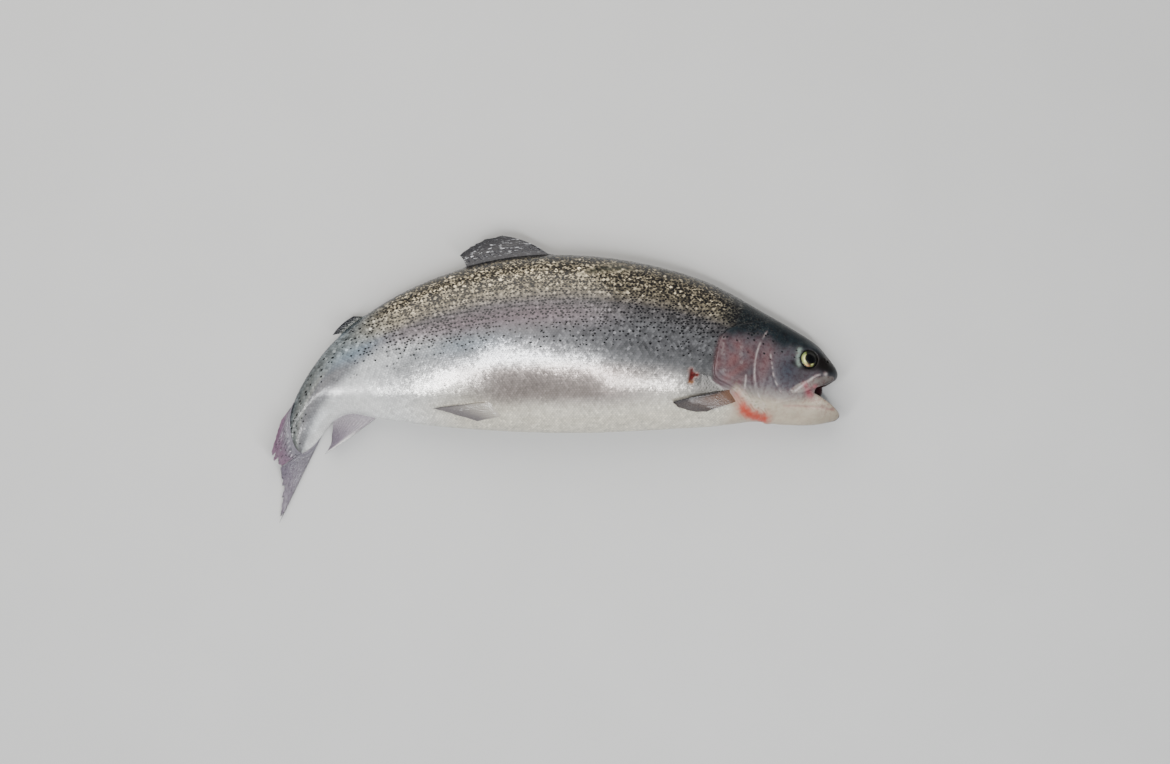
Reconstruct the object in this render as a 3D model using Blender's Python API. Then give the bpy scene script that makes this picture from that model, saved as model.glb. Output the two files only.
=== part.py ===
"""Rainbow trout, life size: a caught fish lying on its left flank, mouth open and tail bent down.

The fish is described in straight-fish coordinates, in millimetres: s runs from the snout to the
tail, v from the axis towards the back, w from the axis to the right flank. pose() bends those
coordinates into the resting fish, with the right flank up, the head towards +X and the floor at
Z = 0. Every flesh node is a loft of cross-sections, and every fin a thin fan of rays.
"""
import math

import bmesh
import bpy
import numpy as np
from mathutils import Vector

MM = 0.001
GAP = 0.3                      # clearance between touching nodes

# Bend of the axis, seen from above: heading in degrees, positive towards the back.
HEADING_AT_SNOUT = 22.6
ARCH_PER_MM = 0.0965
TAIL_BEND = 54.0
TAIL_BEND_START = 396.0
TAIL_BEND_LENGTH = 99.0
# Twist of the tail about the axis, which lifts its upper edge off the floor.
TAIL_TWIST = 32.0
TAIL_TWIST_START = 420.0
TAIL_TWIST_LENGTH = 75.0
AXIS_START = -20.0
AXIS_END = 580.0
AXIS_STEP = 0.5

# Height of the axis above the floor: (s, height).
AXIS_HEIGHT = (
    (-20, 25.5), (0, 26.5), (30, 28.5), (60, 30.0), (85, 31.0), (105, 31.9), (150, 34.6),
    (215, 37.7), (280, 35.9), (340, 30.3), (400, 21.3), (440, 14.8), (470, 10.6), (500, 9.6),
    (580, 9.0),
)

# Whole cross-sections: (s, height of the back, depth of the belly, half width).
SECTIONS = (
    (7.6, 18.4, 26.5, 4.0), (9.5, 20.6, 27.4, 8.0), (12.5, 23.2, 28.8, 10.6),
    (16, 25.6, 30.3, 12.4), (21.4, 29.0, 32.5, 14.2), (30, 34.1, 35.2, 16.2),
    (40, 37.6, 38.0, 18.4), (50, 40.2, 39.7, 20.4), (60, 42.8, 41.4, 22.4),
    (80, 48.0, 48.6, 26.4), (100, 54.4, 55.5, 29.6), (115, 59.2, 59.6, 31.9),
    (130, 63.2, 62.9, 33.6), (150, 66.8, 66.9, 35.3), (180, 70.7, 71.3, 37.4),
    (210, 73.3, 74.0, 38.5), (240, 74.4, 74.5, 38.4), (270, 73.4, 73.0, 37.2),
    (300, 70.3, 69.5, 34.8), (330, 64.7, 64.1, 31.0), (360, 57.2, 56.6, 26.4),
    (380, 50.6, 49.6, 23.0), (400, 42.6, 41.8, 19.6), (420, 32.9, 33.2, 16.4),
    (435, 25.5, 26.0, 14.0), (450, 20.7, 20.9, 11.6), (462, 18.6, 18.6, 9.8),
)
ROUNDNESS = 2.2                # superellipse exponent of the cross-sections

# Rounded end of the scaled tail, where the tail fin starts.
TAIL_END_START = 462.0
TAIL_END_LENGTH = 35.0
TAIL_END_HALF_WIDTH = 1.7
TAIL_END_ROUNDNESS = 1.8

# Jaws.
SNOUT = 7.6
MOUTH_CORNER = 21.4
JAW_HINGE = 50.0
UPPER_LIP = ((7.6, 13.2), (9.2, 11.3), (12, 7.6), (15.6, 3.2), (21.4, -3.1), (50, -22.3))
# Lower jaw: (s, rim, underside, half width at the rim).
LOWER_JAW = (
    (-6.6, -12.6, -15.4, 2.6), (-5.0, -11.2, -18.0, 5.6), (-2.5, -9.7, -20.1, 8.0),
    (1, -8.2, -22.3, 10.0), (6, -6.4, -25.6, 11.8), (12, -5.0, -28.8, 12.9),
    (21.4, -3.5, -32.5, 14.0), (30, -9.7, -35.2, 15.7), (40, -16.2, -38.0, 17.0),
    (49.7, -22.5, -39.6, 17.5),
)
JAW_ROUNDNESS = 1.8
MOUTH_CENTRE = (12.0, -4.0)
MOUTH_RADII = (17.0, 11.0, 9.5)
TONGUE_CENTRE = (12.0, -11.7)
TONGUE_RADII = (10.0, 2.5, 4.5)

# Eyes: centre on the head's surface, then the half sizes along, across and through the ball.
EYE_PLACE = (34.8, 21.7)
EYE_RADII = (8.3, 8.3, 5.2)
EYE_DEPTH = 3.0

# Gill cover: (v, front edge, rear edge).
GILL_COVER = (
    (32, 90, 96), (27, 80, 104), (20, 75.5, 108.6), (5, 75.5, 109), (-8, 72.5, 108),
    (-14, 70.5, 105.5), (-17.5, 69, 96), (-19.5, 68, 86), (-26, 64, 79), (-32, 61, 72),
    (-37, 60, 65),
)
PLATE_CLEARANCE = 0.5          # between a plate and the faceted head under it
GILL_COVER_LIFT = (1.3, 2.3)   # outer face above the head, at the front and rear edges
# Maxilla: (s, v, half width) down its middle.
MAXILLA = ((12, 13, 2.0), (17, 9.5, 3.6), (25, 3.5, 4.3), (33, -3.0, 4.4), (39, -8.0, 2.6))
MAXILLA_LIFT = 1.9

# Fins: each ray is its root, then its tip's offset towards the tail, the back and the sky.
DORSAL_RAYS = (
    (246, 38, 18, -6), (258, 36, 18, -8), (270, 31, 16, -8), (282, 24, 14, -7),
    (295, 16, 11.5, -5), (308, 5, 10.5, -3),
)
ADIPOSE_RAYS = ((393, 8, 2.6, 1), (399, 10, 2.6, 1), (405, 10, 2.0, 1), (410, 9, 1.2, 1))
ANAL_RAYS = (
    (408, 50, -14.5, -7), (420, 42, -13, -6), (432, 33, -10.5, -5), (446, 23, -8, -3),
    (458, 12, -5, -2),
)
# Tail fin: (degrees round the tail's end from its upper or lower edge, then the same offset).
UPPER_LOBE_RAYS = (
    (0, 15, 2.2, 3), (18, 30, 2.2, 10), (36, 22, 5, 10), (58, 14, 7.5, 6), (82, 8, 10, 3),
)
LOWER_LOBE_RAYS = (
    (33, 72, 13.5, 1), (45, 57, 15.5, 0), (57, 42, 16, -1), (69, 27, 14.5, -2), (83, 14, 12, -1),
)
# Paired fins lie along the flank: (root s, root v, tip s, tip v).
PECTORAL_RAYS = (
    (88.5, -20.6, 138.5, -40.0), (86.3, -23.2, 133, -43.5), (84.0, -26.0, 120, -44.5),
    (82.0, -29.0, 107, -42.5),
)
PELVIC_RAYS = (
    (300, -45.0, 354, -41.5), (297.5, -49.0, 346, -44.5), (295, -53.0, 334, -50.0),
    (292, -57.0, 316, -57.5),
)
FIN_ROOT_THICKNESS = 1.7
FIN_EDGE_THICKNESS = 0.6
FIN_COLUMNS = 11
FIN_ROWS = 5

# Ring resolution of the lofts.
UPPER_POINTS = 25
LOWER_POINTS = 11
STALK_POINTS = 28

MATERIALS = {
    "silver_flank": ((0.62, 0.64, 0.62), 0.30, 0.25),
    "olive_head": ((0.16, 0.18, 0.17), 0.35, 0.10),
    "pale_jaw": ((0.72, 0.68, 0.60), 0.40, 0.0),
    "pink_gill_cover": ((0.50, 0.38, 0.38), 0.30, 0.20),
    "grey_fin": ((0.27, 0.23, 0.27), 0.45, 0.0),
    "red_mouth": ((0.42, 0.08, 0.08), 0.35, 0.0),
    "golden_eye": ((0.45, 0.36, 0.12), 0.10, 0.0),
}


def clear_scene():
    for item in list(bpy.data.objects):
        bpy.data.objects.remove(item, do_unlink=True)


def smoothstep(x):
    x = min(max(x, 0.0), 1.0)
    return x * x * (3.0 - 2.0 * x)


def table_value(table, s, column=1):
    """Smooth monotone interpolation of one column of a table over its first column."""
    xs = [row[0] for row in table]
    ys = [row[column] for row in table]
    if s <= xs[0]:
        return ys[0]
    if s >= xs[-1]:
        return ys[-1]
    steps = [(y1 - y0) / (x1 - x0) for x0, x1, y0, y1 in zip(xs, xs[1:], ys, ys[1:])]
    slopes = [steps[0]] + [2 * a * b / (a + b) if a * b > 0 else 0.0
                           for a, b in zip(steps, steps[1:])] + [steps[-1]]
    i = max(k for k in range(len(xs) - 1) if xs[k] <= s)
    width = xs[i + 1] - xs[i]
    t = (s - xs[i]) / width
    rise = t * t * (3 - 2 * t)
    return (ys[i] * (1 - rise) + ys[i + 1] * rise
            + width * t * (1 - t) * (slopes[i] * (1 - t) - slopes[i + 1] * t))


def heading(s):
    bend = TAIL_BEND * smoothstep((s - TAIL_BEND_START) / TAIL_BEND_LENGTH)
    return math.radians(HEADING_AT_SNOUT - ARCH_PER_MM * s - bend)


def make_axis():
    """Points of the axis in the floor's plane, every AXIS_STEP from AXIS_START."""
    points = [(0.0, 0.0)]
    s = AXIS_START
    while s < AXIS_END:
        angle = heading(s + AXIS_STEP / 2)
        x, y = points[-1]
        points.append((x - math.cos(angle) * AXIS_STEP, y + math.sin(angle) * AXIS_STEP))
        s += AXIS_STEP
    return points


AXIS = make_axis()


def axis_point(s):
    place = (s - AXIS_START) / AXIS_STEP
    i = min(max(int(place), 0), len(AXIS) - 2)
    t = place - i
    (x0, y0), (x1, y1) = AXIS[i], AXIS[i + 1]
    return x0 + (x1 - x0) * t, y0 + (y1 - y0) * t


def to_rest(s, v, w, lift=(0.0, 0.0, 0.0)):
    """The resting place of a point, moved by lift: towards the tail, the back and the sky."""
    twist = math.radians(TAIL_TWIST) * smoothstep((s - TAIL_TWIST_START) / TAIL_TWIST_LENGTH)
    across = v * math.cos(twist) - w * math.sin(twist) + lift[1]
    height = (table_value(AXIS_HEIGHT, s) + w * math.cos(twist) + v * math.sin(twist) + lift[2])
    angle = heading(s)
    x, y = axis_point(s)
    x += across * math.sin(angle) - lift[0] * math.cos(angle)
    y += across * math.cos(angle) + lift[0] * math.sin(angle)
    return Vector((x, y, max(height, 0.0))) * MM


def back(s):
    return tail_end_height(s) if s > TAIL_END_START else table_value(SECTIONS, s, 1)


def belly(s):
    return tail_end_height(s) if s > TAIL_END_START else table_value(SECTIONS, s, 2)


def half_width(s):
    full = table_value(SECTIONS, s, 3)
    if s <= TAIL_END_START:
        return full
    return full + (TAIL_END_HALF_WIDTH - full) * (s - TAIL_END_START) / TAIL_END_LENGTH


def tail_end_height(s):
    reach = min((s - TAIL_END_START) / TAIL_END_LENGTH, 1.0)
    full = table_value(SECTIONS, TAIL_END_START)
    return full * (1 - reach ** TAIL_END_ROUNDNESS) ** (1 / TAIL_END_ROUNDNESS)


def section_point(s, angle):
    """Point of a whole cross-section; angle 0 is the back and a quarter turn the right flank."""
    c, k = math.cos(angle), math.sin(angle)
    height = back(s) if c >= 0 else belly(s)
    v = math.copysign(abs(c) ** (2 / ROUNDNESS), c) * height
    w = math.copysign(abs(k) ** (2 / ROUNDNESS), k) * half_width(s)
    return s, v, w


def angle_at(s, v):
    height = back(s) if v >= 0 else belly(s)
    ratio = min(abs(v) / height, 1.0) ** (ROUNDNESS / 2)
    return math.acos(math.copysign(ratio, v))


def flank_point(s, v, side, lift):
    """Point on the flank at height v, lifted along the cross-section's normal."""
    s, v, w = section_point(s, angle_at(s, v))
    height = back(s) if v >= 0 else belly(s)
    normal_v = math.copysign(abs(v / height) ** (ROUNDNESS - 1), v) / height
    normal_w = (w / half_width(s)) ** (ROUNDNESS - 1) / half_width(s)
    length = math.hypot(normal_v, normal_w)
    return s, v + lift * normal_v / length, side * (w + lift * normal_w / length)


def section_ring(s, split, closed_below):
    """Ring of a section: its arc above the height split, then its lower arc or a flat chord."""
    limit = angle_at(s, split)
    upper = [section_point(s, -limit + 2 * limit * i / (UPPER_POINTS - 1))
             for i in range(UPPER_POINTS)]
    lower = []
    for i in range(1, LOWER_POINTS):
        t = i / LOWER_POINTS
        if closed_below:
            lower.append(section_point(s, limit + 2 * (math.pi - limit) * t))
        else:
            right, left = upper[-1], upper[0]
            lower.append((s, right[1] + (left[1] - right[1]) * t,
                          right[2] + (left[2] - right[2]) * t))
    return upper + lower


def lathe_ring(s, points):
    return [section_point(s, 2 * math.pi * i / points) for i in range(points)]


def make_material(name):
    colour, roughness, metallic = MATERIALS[name]
    material = bpy.data.materials.get(name) or bpy.data.materials.new(name)
    material.use_nodes = True
    shader = material.node_tree.nodes["Principled BSDF"]
    shader.inputs["Base Color"].default_value = (*colour, 1.0)
    shader.inputs["Roughness"].default_value = roughness
    shader.inputs["Metallic"].default_value = metallic
    return material


def add_object(name, mesh_data, material):
    """An object from a bmesh, with its faces turned outwards."""
    bmesh.ops.recalc_face_normals(mesh_data, faces=mesh_data.faces)
    mesh = bpy.data.meshes.new(name)
    mesh_data.to_mesh(mesh)
    mesh_data.free()
    item = bpy.data.objects.new(name, mesh)
    bpy.context.scene.collection.objects.link(item)
    item.data.materials.append(make_material(material))
    return item


def add_loft(name, rings, material):
    """A closed solid through rings of straight-fish points."""
    data = bmesh.new()
    loops = [[data.verts.new(to_rest(*point)) for point in ring] for ring in rings]
    count = len(loops[0])
    for near, far in zip(loops, loops[1:]):
        for i in range(count):
            j = (i + 1) % count
            data.faces.new((near[i], near[j], far[j], far[i]))
    data.faces.new(loops[0])
    data.faces.new(loops[-1])
    return add_object(name, data, material)


def add_plate(name, grid, material):
    """A closed solid from a grid of (outer, inner) pairs of resting points."""
    data = bmesh.new()
    outer = [[data.verts.new(pair[0]) for pair in row] for row in grid]
    inner = [[data.verts.new(pair[1]) for pair in row] for row in grid]
    rows, columns = len(grid), len(grid[0])
    for i in range(rows - 1):
        for j in range(columns - 1):
            for layer in (outer, inner):
                data.faces.new((layer[i][j], layer[i][j + 1], layer[i + 1][j + 1],
                                layer[i + 1][j]))
    rim = ([(0, j) for j in range(columns)] + [(i, columns - 1) for i in range(1, rows)]
           + [(rows - 1, j) for j in range(columns - 2, -1, -1)]
           + [(i, 0) for i in range(rows - 2, 0, -1)])
    for (i, j), (k, m) in zip(rim, rim[1:] + rim[:1]):
        data.faces.new((outer[i][j], outer[k][m], inner[k][m], inner[i][j]))
    return add_object(name, data, material)


def spread(start, end, count):
    return [start + (end - start) * i / (count - 1) for i in range(count)]


def add_cutter(name, mesh_data, targets):
    cutter = add_object(name, mesh_data, "red_mouth")
    cutter.hide_render = True
    cutter.display_type = "WIRE"
    for target in targets:
        cut = target.modifiers.new(name, "BOOLEAN")
        cut.operation = "DIFFERENCE"
        cut.solver = "EXACT"
        cut.object = cutter
    return cutter


def add_head():
    """Skull, upper jaw and cheeks, whole behind the jaw hinge."""
    rings = [section_ring(s, table_value(UPPER_LIP, s), False)
             for s in (SNOUT, 9.2, 11.5, 15.6, MOUTH_CORNER, 27, 33, 40, JAW_HINGE)]
    split = table_value(UPPER_LIP, JAW_HINGE)
    rings += [section_ring(s, split, True) for s in (JAW_HINGE + 0.4, 58, 66, 74, 82, 90)]
    return add_loft("head", rings, "olive_head")


def add_lower_jaw():
    rings = []
    for s in (-6.6, -5.0, -2.5, 1, 6, 12, MOUTH_CORNER, 30, 40, JAW_HINGE - GAP):
        rim, under, width = (table_value(LOWER_JAW, s, column) for column in (1, 2, 3))
        ring = []
        for angle in spread(-math.pi / 2, math.pi / 2, UPPER_POINTS - 4):
            c, k = math.cos(angle), math.sin(angle)
            ring.append((s, rim - (rim - under) * max(c, 0) ** (2 / JAW_ROUNDNESS),
                         math.copysign(abs(k) ** (2 / JAW_ROUNDNESS), k) * width))
        ring += [(s, rim, w) for w in spread(width, -width, LOWER_POINTS)[1:-1]]
        rings.append(ring)
    return add_loft("lower_jaw", rings, "pale_jaw")


def add_ball(centre, radii, segments=20):
    """A bmesh ellipsoid in straight-fish axes, put in its resting place."""
    data = bmesh.new()
    bmesh.ops.create_uvsphere(data, u_segments=segments, v_segments=segments // 2, radius=1.0)
    for vertex in data.verts:
        x, y, z = vertex.co
        vertex.co = to_rest(centre[0] + radii[0] * x, centre[1] + radii[1] * y,
                            centre[2] + radii[2] * z)
    return data


def add_mouth_cavity(targets):
    centre = (*MOUTH_CENTRE, 0.0)
    add_cutter("mouth_cavity", add_ball(centre, MOUTH_RADII, 24), targets)


def add_tongue():
    ball = add_ball((*TONGUE_CENTRE, 0.0), TONGUE_RADII, 14)
    return add_object("tongue", ball, "red_mouth")


def eye_ball(side, grow):
    """Flattened ball set into the side of the head, its short axis along the surface normal."""
    s, v = EYE_PLACE
    surface = to_rest(*flank_point(s, v, side, 0.0))
    above = to_rest(*flank_point(s, v, side, 1.0))
    ahead = to_rest(*flank_point(s - 3, v, side, 0.0))
    behind = to_rest(*flank_point(s + 3, v, side, 0.0))
    along = (ahead - behind).normalized()
    through = (above - surface).normalized()
    through = (through - along * through.dot(along)).normalized()
    across = through.cross(along)
    centre = surface - through * EYE_DEPTH * MM
    data = bmesh.new()
    bmesh.ops.create_uvsphere(data, u_segments=20, v_segments=12, radius=1.0)
    for vertex in data.verts:
        x, y, z = vertex.co
        vertex.co = (centre + along * x * (EYE_RADII[0] + grow) * MM
                     + across * y * (EYE_RADII[1] + grow) * MM
                     + through * z * (EYE_RADII[2] + grow) * MM)
    return data


def add_eyes(head):
    for side_name, side in (("right", 1), ("left", -1)):
        add_cutter("eye_socket_" + side_name, eye_ball(side, GAP), [head])
        add_object("eye_" + side_name, eye_ball(side, 0.0), "golden_eye")


def add_gill_cover(side_name, side):
    grid = []
    for v in spread(GILL_COVER[0][0], GILL_COVER[-1][0], 12):
        rows = GILL_COVER[::-1]
        front, rear = table_value(rows, v, 1), table_value(rows, v, 2)
        row = []
        for t in spread(0.0, 1.0, 8):
            lift = GILL_COVER_LIFT[0] + (GILL_COVER_LIFT[1] - GILL_COVER_LIFT[0]) * t
            s = front + (rear - front) * t
            row.append((to_rest(*flank_point(s, v, side, lift)),
                        to_rest(*flank_point(s, v, side, PLATE_CLEARANCE))))
        grid.append(row)
    return add_plate("gill_cover_" + side_name, grid, "pink_gill_cover")


def add_maxilla(side_name, side):
    grid = []
    for s in spread(MAXILLA[0][0], MAXILLA[-1][0], 9):
        v, half = table_value(MAXILLA, s, 1), table_value(MAXILLA, s, 2)
        ahead = table_value(MAXILLA, s + 1, 1) - table_value(MAXILLA, s - 1, 1)
        slope = math.atan2(ahead, 2.0)
        row = []
        for across in (1.0, 0.4, -0.4, -1.0):
            place = (s - math.sin(slope) * half * across, v + math.cos(slope) * half * across)
            lift = MAXILLA_LIFT * (1 - 0.35 * across * across)
            row.append((to_rest(*flank_point(*place, side, lift)),
                        to_rest(*flank_point(*place, side, PLATE_CLEARANCE))))
        grid.append(row)
    return add_plate("maxilla_" + side_name, grid, "pale_jaw")


def add_body():
    """The three lengths of the trunk and tail stalk, with a gap between neighbours."""
    split = table_value(UPPER_LIP, JAW_HINGE)
    spans = (
        ("trunk_front", (90 + GAP, 100, 115, 130, 150, 175, 200, 225 - GAP)),
        ("trunk_rear", (225, 245, 265, 285, 305, 325, 345, 365 - GAP)),
    )
    for name, stations in spans:
        add_loft(name, [section_ring(s, split, True) for s in stations], "silver_flank")
    stations = (365, 380, 394, 404, 412, 420, 428, 436, 444, 453, 462, 470, 478, 485, 491, 495, 496.6)
    add_loft("tail_stalk", [lathe_ring(s, STALK_POINTS) for s in stations], "silver_flank")


def ray_at(rays, t):
    """One ray of a fin, at the fraction t from its first ray to its last."""
    table = tuple((i / (len(rays) - 1), *ray) for i, ray in enumerate(rays))
    return [table_value(table, t, column) for column in range(1, len(rays[0]) + 1)]


def add_fin(name, point):
    """A closed fan; point(t, r) is its middle surface from the first ray and from the root."""
    step = 0.01
    grid = []
    for t in spread(0.0, 1.0, FIN_COLUMNS):
        row = []
        for r in spread(0.0, 1.0, FIN_ROWS):
            along = point(t, min(r + step, 1.0)) - point(t, max(r - step, 0.0))
            across = point(min(t + step, 1.0), r) - point(max(t - step, 0.0), r)
            normal = along.cross(across).normalized()
            thickness = FIN_ROOT_THICKNESS + (FIN_EDGE_THICKNESS - FIN_ROOT_THICKNESS) * r
            middle = point(t, r)
            offset = normal * thickness / 2 * MM
            row.append((middle + offset, middle - offset))
        grid.append(row)
    return add_plate(name, grid, "grey_fin")


def add_median_fin(name, rays, root_height):
    def point(t, r):
        s, tail, out, up = ray_at(rays, t)
        v = root_height(s)
        return to_rest(s, v, 0.0, (tail * r, out * r, up * r * r))
    return add_fin(name, point)


def tail_root(degrees, side):
    """Point just off the rounded end of the tail, from its edge round to its middle."""
    angle = math.radians(degrees)
    clear = 1.0 + 2.5 * GAP / TAIL_END_LENGTH
    power = 2 / TAIL_END_ROUNDNESS
    s = TAIL_END_START + TAIL_END_LENGTH * clear * math.sin(angle) ** power
    v = side * (back(TAIL_END_START) * clear + 0.2) * math.cos(angle) ** power
    return s, v


def add_tail_lobe(name, rays, side):
    def point(t, r):
        degrees, tail, out, up = ray_at(rays, t)
        s, v = tail_root(degrees, side)
        return to_rest(s, v, 0.0, (tail * r, out * r, up * r * r))
    return add_fin(name, point)


def add_flank_fin(name, rays, side, lift_at_tip):
    """A paired fin folded back along the flank, clear of the body by a widening gap."""
    def point(t, r):
        s0, v0, s1, v1 = ray_at(rays, t)
        lift = GAP + FIN_ROOT_THICKNESS / 2 + 0.2 + lift_at_tip * r
        return to_rest(*flank_point(s0 + (s1 - s0) * r, v0 + (v1 - v0) * r, side, lift))
    return add_fin(name, point)


def add_fins():
    clear = GAP + 0.2
    add_median_fin("dorsal_fin", DORSAL_RAYS, lambda s: back(s) + clear)
    add_median_fin("adipose_fin", ADIPOSE_RAYS, lambda s: back(s) + clear)
    add_median_fin("anal_fin", ANAL_RAYS, lambda s: -belly(s) - clear - 0.4)
    add_tail_lobe("caudal_fin_upper", UPPER_LOBE_RAYS, 1)
    add_tail_lobe("caudal_fin_lower", LOWER_LOBE_RAYS, -1)
    for side_name, side, lift in (("right", 1, 2.0), ("left", -1, 0.3)):
        add_flank_fin("pectoral_fin_" + side_name, PECTORAL_RAYS, side, lift)
        add_flank_fin("pelvic_fin_" + side_name, PELVIC_RAYS, side, lift)


def centre_on_origin():
    """Parent every node to an empty that brings the fish's box over the origin."""
    nodes = [item for item in bpy.data.objects if item.type == "MESH"]
    shown = [item for item in nodes if not item.hide_render]
    corners = np.array([vertex.co for item in shown for vertex in item.data.vertices])
    low, high = corners.min(axis=0), corners.max(axis=0)
    rest = bpy.data.objects.new("rest_pose", None)
    bpy.context.scene.collection.objects.link(rest)
    rest.location = (-(low[0] + high[0]) / 2, -(low[1] + high[1]) / 2, 0.0)
    for item in nodes:
        item.parent = rest


def main():
    clear_scene()
    head = add_head()
    jaw = add_lower_jaw()
    add_mouth_cavity([head, jaw])
    add_tongue()
    add_eyes(head)
    for side_name, side in (("right", 1), ("left", -1)):
        add_gill_cover(side_name, side)
        add_maxilla(side_name, side)
    add_body()
    add_fins()
    centre_on_origin()


main()
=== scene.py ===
"""Looks of the rainbow trout: one skin, a coat of mesh scales, rayed fins, eyes, floor and light.

The fish is described as in its solids, in straight-fish coordinates in millimetres: s from the
snout to the tail, v from the axis to the back, w to the right flank. to_rest() bends them.
"""
import math

import bpy
import numpy as np
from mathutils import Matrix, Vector


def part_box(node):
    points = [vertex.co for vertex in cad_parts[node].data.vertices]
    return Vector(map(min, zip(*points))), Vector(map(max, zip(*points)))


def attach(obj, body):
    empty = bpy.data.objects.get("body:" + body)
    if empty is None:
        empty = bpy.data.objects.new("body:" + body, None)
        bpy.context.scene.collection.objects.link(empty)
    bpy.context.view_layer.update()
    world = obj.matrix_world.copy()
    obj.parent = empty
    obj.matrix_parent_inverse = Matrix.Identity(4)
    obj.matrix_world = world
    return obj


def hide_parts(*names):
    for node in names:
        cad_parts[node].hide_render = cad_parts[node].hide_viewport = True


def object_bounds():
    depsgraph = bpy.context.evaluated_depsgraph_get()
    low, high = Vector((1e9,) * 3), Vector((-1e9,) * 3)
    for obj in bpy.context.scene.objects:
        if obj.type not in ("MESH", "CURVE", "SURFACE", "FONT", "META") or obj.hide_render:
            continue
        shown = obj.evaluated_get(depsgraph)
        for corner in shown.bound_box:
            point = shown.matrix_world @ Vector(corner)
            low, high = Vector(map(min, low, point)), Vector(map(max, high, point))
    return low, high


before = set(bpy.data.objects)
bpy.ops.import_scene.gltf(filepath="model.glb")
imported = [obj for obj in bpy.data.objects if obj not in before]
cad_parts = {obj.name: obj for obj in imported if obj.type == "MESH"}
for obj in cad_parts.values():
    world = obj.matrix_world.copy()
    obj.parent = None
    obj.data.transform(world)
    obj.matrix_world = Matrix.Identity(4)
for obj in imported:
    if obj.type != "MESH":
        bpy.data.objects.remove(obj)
CAD_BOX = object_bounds()

MM = 0.001
RNG = np.random.default_rng(7)

# ---- the form, as in the solids

HEADING_AT_SNOUT = 22.6
ARCH_PER_MM = 0.0965
TAIL_BEND = 54.0
TAIL_BEND_START = 396.0
TAIL_BEND_LENGTH = 99.0
TAIL_TWIST = 32.0
TAIL_TWIST_START = 420.0
TAIL_TWIST_LENGTH = 75.0
AXIS_START = -20.0
AXIS_END = 580.0
AXIS_STEP = 0.5
AXIS_HEIGHT = (
    (-20, 25.5), (0, 26.5), (30, 28.5), (60, 30.0), (85, 31.0), (105, 31.9), (150, 34.6),
    (215, 37.7), (280, 35.9), (340, 30.3), (400, 21.3), (440, 14.8), (470, 10.6), (500, 9.6),
    (580, 9.0),
)
SECTIONS = (
    (7.6, 18.4, 26.5, 4.0), (9.5, 20.6, 27.4, 8.0), (12.5, 23.2, 28.8, 10.6),
    (16, 25.6, 30.3, 12.4), (21.4, 29.0, 32.5, 14.2), (30, 34.1, 35.2, 16.2),
    (40, 37.6, 38.0, 18.4), (50, 40.2, 39.7, 20.4), (60, 42.8, 41.4, 22.4),
    (80, 48.0, 48.6, 26.4), (100, 54.4, 55.5, 29.6), (115, 59.2, 59.6, 31.9),
    (130, 63.2, 62.9, 33.6), (150, 66.8, 66.9, 35.3), (180, 70.7, 71.3, 37.4),
    (210, 73.3, 74.0, 38.5), (240, 74.4, 74.5, 38.4), (270, 73.4, 73.0, 37.2),
    (300, 70.3, 69.5, 34.8), (330, 64.7, 64.1, 31.0), (360, 57.2, 56.6, 26.4),
    (380, 50.6, 49.6, 23.0), (400, 42.6, 41.8, 19.6), (420, 32.9, 33.2, 16.4),
    (435, 25.5, 26.0, 14.0), (450, 20.7, 20.9, 11.6), (462, 18.6, 18.6, 9.8),
)
ROUNDNESS = 2.2
TAIL_END_START = 462.0
TAIL_END_LENGTH = 35.0
TAIL_END_HALF_WIDTH = 1.7
TAIL_END_ROUNDNESS = 1.8

UPPER_LIP = ((7.6, 13.2), (9.2, 11.3), (12, 7.6), (15.6, 3.2), (21.4, -3.1), (50, -22.3))
LOWER_JAW = (
    (-6.6, -12.6, -15.4, 2.6), (-5.0, -11.2, -18.0, 5.6), (-2.5, -9.7, -20.1, 8.0),
    (1, -8.2, -22.3, 10.0), (6, -6.4, -25.6, 11.8), (12, -5.0, -28.8, 12.9),
    (21.4, -3.5, -32.5, 14.0), (30, -9.7, -35.2, 15.7), (40, -16.2, -38.0, 17.0),
    (49.7, -22.5, -39.6, 17.5),
)
JAW_ROUNDNESS = 1.8
EYE_PLACE = (34.8, 21.7)
EYE_DEPTH = 3.0
GILL_REAR_EDGE = (
    (88, 36), (97, 32), (104.5, 26), (108.6, 18), (109, 5), (108.2, -8), (105, -14.5),
    (96, -17.5), (86.5, -19.8), (79, -26), (72, -32), (63, -38),
)
PREOPERCLE = ((73, 35), (76.4, 22), (76.8, 9), (74.2, -4), (70, -14), (63, -23), (54, -29))
CHEEK_LINE = ((66.6, 17), (63.2, 9), (61.2, 4.8), (57, -3.5), (48.8, -11.8))
JAW_GROOVE = ((1, -10.6), (13, -13), (27, -17), (42, -22))
MAXILLA = ((12, 13, 2.0), (17, 9.5, 3.4), (25, 3.5, 4.0), (33, -3.0, 4.1), (38.5, -7.6, 2.6))
NOSTRILS = ((20.2, 24.6, 1.25), (23.0, 25.4, 0.95))

DORSAL_RAYS = (
    (246, 38, 16.6, -6), (258, 36, 16.0, -8), (270, 31, 14.2, -8), (282, 24, 12.6, -7),
    (295, 16, 11, -5), (308, 5, 10.5, -3),
)
ADIPOSE_RAYS = ((393, 8, 2.6, 1), (399, 10, 2.6, 1), (405, 10, 2.0, 1), (410, 9, 1.2, 1))
ANAL_RAYS = (
    (408, 50, -14.5, -7), (420, 42, -13, -6), (432, 33, -10.5, -5), (446, 23, -8, -3),
    (458, 12, -5, -2),
)
UPPER_LOBE_RAYS = (
    (0, 15, 2.2, 3), (18, 30, 2.2, 10), (36, 24, 5, 10), (58, 17, 8, 6), (86, 13, 12, 3),
)
LOWER_LOBE_RAYS = (
    (33, 76, 13.5, 1), (45, 60, 15.5, 0), (57, 42, 16, -1), (69, 27, 15.5, -2), (87, 15, 15, -1),
)
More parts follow.
